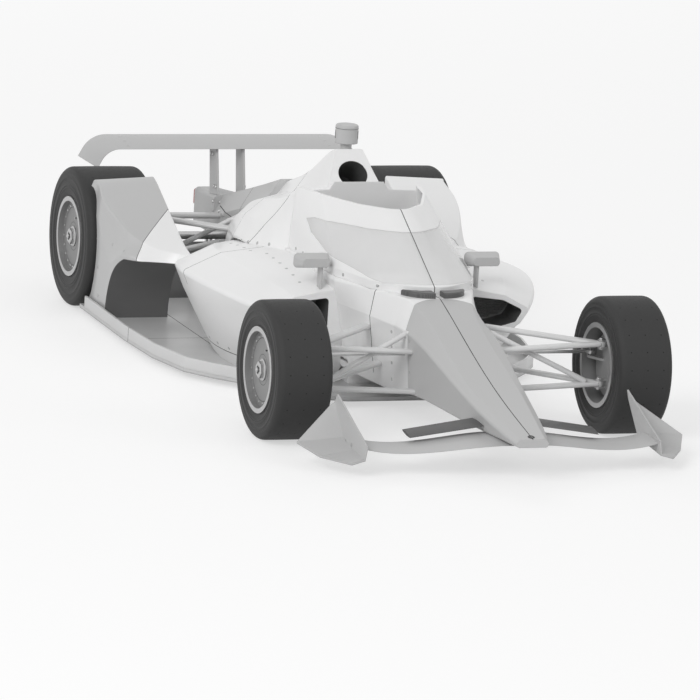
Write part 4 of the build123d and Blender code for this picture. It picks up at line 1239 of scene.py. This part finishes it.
for side in (-1, 1):
    across, up, ahead = paddle_place
    paddle_foot = on_wheel(side * across, up, ahead)
    knobs.append(slab(paddle_outline, paddle_foot, wheel_left, wheel_up, paddle_depth, paddle_chamfer))
knob_plastic = plastic("knob_plastic", knob_tone)
piece("wheel_knobs", joined(knobs), knob_plastic, "steering_wheel", crease=25)


# Dash switches: small steel toggles in two groups, each held in the dashboard's face by the
# round nut at its foot.
switch_places = (-0.2, -0.12, 0.12, 0.2)
switch_drop = 0.045
switch_sink = 0.001
switch_profile = [(0.008, 0), (0.008, 0.003), (0.003, 0.004), (0.0024, 0.016), (0.0034, 0.02)]
dash_low, dash_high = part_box("dashboard")
switches = []
for across in switch_places:
    foot = Vector((dash_low.x + switch_sink, across, dash_high.z - switch_drop))
    switches.append(turned(switch_profile, foot, (-1, 0, 0), 16))
piece("dash_switches", joined(switches), bright_steel, "chassis")


# Radiator cores: rows of flat alloy tubes with corrugated fins brazed between them, set behind
# each sidepod's inlet.
fin_pitch = 0.0085
fin_row_height = 0.0125
fin_depth = 0.006
fin_sink = 0.001
fin_half_share = 0.36
fin_span_share = 0.4
fin_side_gap = 0.003
bar_half = 0.001
core_outline = [
    # across and up, anticlockwise
    (0.366, 0.352), (0.509, 0.347), (0.6, 0.371), (0.634, 0.4245), (0.53, 0.476), (0.366, 0.496),
]
core_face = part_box("radiators")[1].x


def outline_span(corners, level):
    """Lowest and highest y of a closed outline at one height."""
    hits = []
    for (y0, z0), (y1, z1) in zip(corners, corners[1:] + corners[:1]):
        if (z0 - level) * (z1 - level) < 0:
            hits.append(y0 + (y1 - y0) * (level - z0) / (z1 - z0))
    return min(hits), max(hits)


back_x, front_x = core_face - fin_sink, core_face + fin_depth
fins = []
level = core_outline[1][1] + fin_row_height
while level < core_outline[-1][1] - fin_row_height:
    below = outline_span(core_outline, level - fin_span_share * fin_row_height)
    above = outline_span(core_outline, level + fin_span_share * fin_row_height)
    first, last = max(below[0], above[0]) + fin_side_gap, min(below[1], above[1]) - fin_side_gap
    count = int((last - first) / (fin_pitch / 2))
    bar_z = level + 0.5 * fin_row_height
    bar = [(back_x, bar_z - bar_half), (front_x, bar_z - bar_half)]
    bar += [(front_x, bar_z + bar_half), (back_x, bar_z + bar_half)]
    for side in (-1, 1):
        folds = []
        for i in range(count + 1):
            z = level + (fin_half_share if i % 2 else -fin_half_share) * fin_row_height
            folds += [Vector((x, side * (first + i * fin_pitch / 2), z)) for x in (back_x, front_x)]
        fins.append((folds, [(2 * i, 2 * i + 1, 2 * i + 3, 2 * i + 2) for i in range(count)]))
        fins.append(lofted([[Vector((x, side * y, z)) for x, z in bar[::-side]] for y in (first, last)]))
    level += fin_row_height
fin_alloy = grained("fin_alloy", tone=(0.1, 0.2), rough=(0.4, 0.6), metal=0.7, scale=40, detail=4)
piece("radiator_fins", joined(fins), fin_alloy, "chassis", crease=20)


# Rear light: a block of red moulded plastic on the end of the crash structure, with rows of
# domed lenses in its face.
lamp_dark = (0.32, 0.012, 0.01, 1)
lamp_bright = (0.45, 0.02, 0.015, 1)
prism_pitch = 0.006
lens_count = 4
lens_pitch = 0.019
lens_radius = 0.0072
lens_rise = 0.006
lens_lift = 0.001
lens_sink = 0.006
lens_foot = 0.002
lens_turns = (0, 0.4, 0.8, 1.2, 1.5)
lamp_low, lamp_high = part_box("rear_light")


def lamp_recipe(start):
    _, y, z = places(start)
    prisms = wave(y, prism_pitch) * wave(z, prism_pitch)
    tones = {0: noise(start, 30, 2), 6: lamp_dark, 7: lamp_bright}
    red = start.add("ShaderNodeMix", {"data_type": "RGBA"}, tones, output=2)
    return surface(start, {
        "Base Color": red,
        "Roughness": 0.12,
        "Coat Weight": 0.5,
        "Normal": relief(start, prisms, 0.3, 0.0008),
    })


lamp_plastic = finish("lamp_plastic", lamp_recipe)
dress(lamp_plastic, "rear_light")
dome = [(lens_radius, -lens_foot)]
dome += [(lens_radius * math.cos(turn), lens_rise * math.sin(turn) + lens_lift) for turn in lens_turns]
lens_steps = [lens_pitch * (i - (lens_count - 1) / 2) for i in range(lens_count)]
lenses = []
for rise in lens_steps:
    for across in lens_steps:
        foot = Vector((lamp_low.x + lens_sink, across, (lamp_low.z + lamp_high.z) / 2 + rise))
        lenses.append(turned(dome, foot, (-1, 0, 0), 20))
piece("rear_light_lenses", joined(lenses), lamp_plastic, "chassis", crease=60)


# Mirrors: a silvered glass bonded in the back of each pod, with a thin dark rim moulded round it.
# The glass stands a little prouder than the rim.
mirror_width = 0.158
mirror_height = 0.05
mirror_corner = 0.014
mirror_rim = 0.005
mirror_rim_corner = 0.017
mirror_rim_tone = 0.04
mirror_rim_depth = 0.003
mirror_rim_chamfer = 0.001
mirror_depth = 0.0038
mirror_chamfer = 0.0006
mirror_sink = 0.001
mirror_back_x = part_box("mirrors")[0].x + mirror_sink
mirror_middle_y = 0.436
mirror_middle_z = 0.665
rim_outline = rounded(mirror_width + 2 * mirror_rim, mirror_height + 2 * mirror_rim, mirror_rim_corner)
glass_outline = rounded(mirror_width, mirror_height, mirror_corner)
rims = []
glasses = []
for side in (-1, 1):
    centre = Vector((mirror_back_x, side * mirror_middle_y, mirror_middle_z))
    right, up = Vector((0, -1, 0)), Vector((0, 0, 1))
    rims.append(slab(rim_outline, centre, right, up, mirror_rim_depth, mirror_rim_chamfer))
    glasses.append(slab(glass_outline, centre, right, up, mirror_depth, mirror_chamfer))
rim_plastic = plastic("mirror_rim_plastic", mirror_rim_tone)
silvered = grained("silvered_glass", tone=(0.78, 0.83), rough=(0.02, 0.07), metal=1, scale=20, detail=3)
piece("mirror_rims", joined(rims), rim_plastic, "chassis")
piece("mirror_glasses", joined(glasses), silvered, "chassis")


# Camera pod: dark glass windows let into the drum, one on each side and one behind, and a
# plastic parting ring where its cap is pressed on.
window_turns = (math.radians(70), math.radians(-110), math.pi)
window_half_turn = math.radians(20)
window_half_height = 0.019
window_drop = 0.05
window_sink = 0.002
window_proud = 0.0012
window_steps = 10
ring_drop = 0.018
ring_tone = 0.1
ring_rows = [
    # reach beyond the drum, height
    (-0.002, -0.0015), (0.0008, -0.001), (0.0008, 0.001), (-0.002, 0.0015),
]
pod_low, pod_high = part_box("camera_pod")
pod_top = Vector(((pod_low.x + pod_high.x) / 2, 0, pod_high.z))
pod_radius = (pod_high.y - pod_low.y) / 2
window_corners = [
    # reach from the drum's axis, height, anticlockwise
    (pod_radius - window_sink, window_half_height),
    (pod_radius + window_proud, window_half_height),
    (pod_radius + window_proud, -window_half_height),
    (pod_radius - window_sink, -window_half_height),
]
window_middle = pod_top - Vector((0, 0, window_drop))
windows = []
for middle_turn in window_turns:
    rings = []
    for i in range(window_steps + 1):
        turn = middle_turn + window_half_turn * (2 * i / window_steps - 1)
        out = Vector((math.cos(turn), math.sin(turn), 0))
        rings.append([window_middle + reach * out + Vector((0, 0, z)) for reach, z in window_corners])
    windows.append(lofted(rings))
piece("camera_windows", joined(windows), dark_glass, "chassis")
ring_profile = [(pod_radius + reach, height) for reach, height in ring_rows]
parting = turned(ring_profile, pod_top - Vector((0, 0, ring_drop)), (0, 0, 1), 64, caps=False)
piece("camera_parting_ring", parting, plastic("ring_plastic", ring_tone), "chassis")


# Panel fasteners: flush quarter-turn studs in bright steel, riveted along the panel edges. Each
# is set on its skin where a ray from outside meets it.
stud_profile = [(0.0085, -0.001), (0.0085, 0.0008), (0.0072, 0.0016), (0.0032, 0.0018), (0.0028, 0.0008)]
outside_y = 1.3
above_z = 1.2
pods = ("sidepod_left", "sidepod_right")
side_studs = [
    # panels, places along and up
    (("monocoque", "nose_cone"), [(x, z) for x in (1.125, 1.33) for z in (0.21, 0.29, 0.37, 0.44)]),
    (("engine_cover",), [(-0.17 - 0.09 * i, 0.6 - 0.012 * i) for i in range(12)]),
    (pods, [(0.36 - 0.13 * i, 0.14) for i in range(7)]),
    (("wheel_pod_left", "wheel_pod_right"),
     [(-1.3, 0.58), (-1.22, 0.42), (-1.18, 0.28), (-1.16, 0.14), (-1.02, 0.43), (-0.9, 0.42)]),
]
top_studs = [
    # panels, places along and across
    (pods, [(0.48 - 0.1 * i, 0.47) for i in range(6)]),
    (pods, [(-0.12 - 0.1 * i, 0.52) for i in range(4)]),
    (("floor_plate",), [(0.2 - 0.14 * i, 0.86) for i in range(3)]),
    (("floor_plate",), [(-0.22 - 0.14 * i, 0.93) for i in range(7)]),
]
screen_arcs = [
    # middle, reach, first turn and step in degrees, count, rise over the reach
    (Vector((0.2, 0, 0.622)), 1.4, 18, 16, 9, 0.0),
    (Vector((0.1, 0, 0.868)), 1.2, 12, 19, 8, 0.25),
]
skins = {}


def skin(name):
    """Surface of a CAD node, to set small pieces on."""
    if name not in skins:
        skins[name] = BVHTree.FromObject(nodes[name], bpy.context.evaluated_depsgraph_get())
    return skins[name]


def set_on(panels, origin, direction):
    """First point and outward normal where a ray meets the panels, if it meets them."""
    direction = Vector(direction).normalized()
    hits = [skin(panel).ray_cast(Vector(origin), direction) for panel in panels]
    hits = [hit for hit in hits if hit[0]]
    if not hits:
        return None
    point, normal, _, _ = min(hits, key=lambda hit: hit[3])
    return point, normal if normal.dot(direction) < 0 else -normal


def from_sides(panels, spots):
    """Rays in from both sides, at places along and up."""
    return [(panels, (x, side * outside_y, z), (0, -side, 0)) for side in (-1, 1) for x, z in spots]


def from_above(panels, spots):
    """Rays down on both sides, at places along and across."""
    return [(panels, (x, side * y, above_z), (0, 0, -1)) for side in (-1, 1) for x, y in spots]


def fasten(name, rays, head, crease):
    """One piece of steel heads, one at each place that a ray finds."""
    found = [set_on(*ray) for ray in rays]
    heads = [head(point, normal) for point, normal in filter(None, found)]
    piece(name, joined(heads), bright_steel, "chassis", crease)


def stud(point, normal):
    return turned(stud_profile, point, normal, 16)


stud_rays = []
for panels, spots in side_studs:
    stud_rays += from_sides(panels, spots)
for panels, spots in top_studs:
    stud_rays += from_above(panels, spots)
for middle, reach, first_turn, turn_step, count, rise in screen_arcs:
    for i in range(count):
        turn = math.radians(first_turn + turn_step * i)
        for side in (-1, 1):
            out = Vector((math.cos(turn), side * math.sin(turn), rise))
            stud_rays.append((("screen_frame",), middle + reach * out, -out))
fasten("panel_studs", stud_rays, stud, crease=30)


# Nose tip: a round sensor port of dark plastic in a raised ring, pressed into the top of the
# nose on the centreline.
port_x = 2.423
port_tone = 0.03
port_profile = [(0.016, -0.002), (0.016, 0.002), (0.013, 0.003), (0.009, 0.003), (0.009, -0.001)]
port_point, port_normal = set_on(("nose_cone",), (port_x, 0, above_z), (0, 0, -1))
port = turned(port_profile, port_point, port_normal, 32)
piece("nose_port", port, plastic("port_plastic", port_tone), "chassis")


# Gearbox and rear structure bolts: steel hexagon heads screwed in round the casing's joints and
# through the feet and heads of the wing pylons.
bolt_radius = 0.0085
bolt_height = 0.007
casing_bolts = [(x, z) for x in (-1.43, -1.47, -1.93, -1.97) for z in (0.34, 0.4, 0.46)]
shelf_bolts = [(x, 0.43) for x in (-1.55, -1.65, -1.75, -1.85)]
pylon_bolts = [(-2.0, 0.53), (-2.03, 0.53), (-2.07, 0.69), (-2.1, 0.69)]


def bolt(point, normal):
    return hex_nut(point - bolt_sink * normal, normal, bolt_radius, bolt_height)


bolt_rays = from_sides(("gearbox", "attenuator"), casing_bolts + shelf_bolts)
bolt_rays += from_sides(("wing_pylons",), pylon_bolts)
fasten("gearbox_bolts", bolt_rays, bolt, crease=20)


# Exhaust clamps: two rolled steel bands round each tailpipe, drawn tight by a bolt across a lug
# on top.
clamp_shares = (0.25, 0.72)
band_rows = [
    # reach beyond the pipe, place along it
    (-0.001, -0.007), (0.002, -0.007), (0.0026, 0.0), (0.002, 0.007), (-0.001, 0.007),
]
lug_lift = 0.006
lug_radius = 0.006
lug_length = 0.016
pipe_radius = (exhaust_high.z - exhaust_low.z) / 2
band = [(pipe_radius + reach, along) for reach, along in band_rows]
clamps = []
for side in (-1, 1):
    for share in clamp_shares:
        x = exhaust_low.x + share * (exhaust_high.x - exhaust_low.x)
        place = Vector((x, side * (exhaust_high.y - pipe_radius), exhaust_low.z + pipe_radius))
        clamps.append(turned(band, place, (1, 0, 0), 40, caps=False))
        lug = place + Vector((0, -lug_length / 2, pipe_radius + lug_lift))
        clamps.append(hex_nut(lug, (0, 1, 0), lug_radius, lug_length))
piece("exhaust_clamps", joined(clamps), bright_steel, "chassis", crease=30)


# Wing bolts: countersunk steel screws that hold the front wing to its endplates and the rear wing
# to its drooped tips.
endplate_bolts = [(x, 0.12) for x in (1.9, 1.98, 2.06)]
tip_bolts = [(x, 0.55) for x in (-2.05, -2.12, -2.2)]
wing_rays = from_sides(("wing_endplates",), endplate_bolts) + from_above(("rear_wing",), tip_bolts)
fasten("wing_bolts", wing_rays, stud, crease=30)


# Kingpin nuts: steel hexagon nuts screwed on above and below both clevises of each kingpin, which
# turn with the upright.
kingpin_inset = 0.112
ball_heights = (0.43, 0.238)
kingpin_nut_foot = 0.0203
kingpin_nut_radius = 0.012
kingpin_nut_height = 0.008
for corner in ("front_left", "front_right"):
    centre, _, side = wheels[corner]
    nuts = []
    for ball_z in ball_heights:
        for lift in (-1, 1):
            foot = Vector((centre.x, centre.y - side * kingpin_inset, ball_z + lift * kingpin_nut_foot))
            nuts.append(hex_nut(foot, (0, 0, lift), kingpin_nut_radius, kingpin_nut_height))
    piece(corner + "_kingpin_nuts", joined(nuts), bright_steel, corner + "_upright", crease=20)
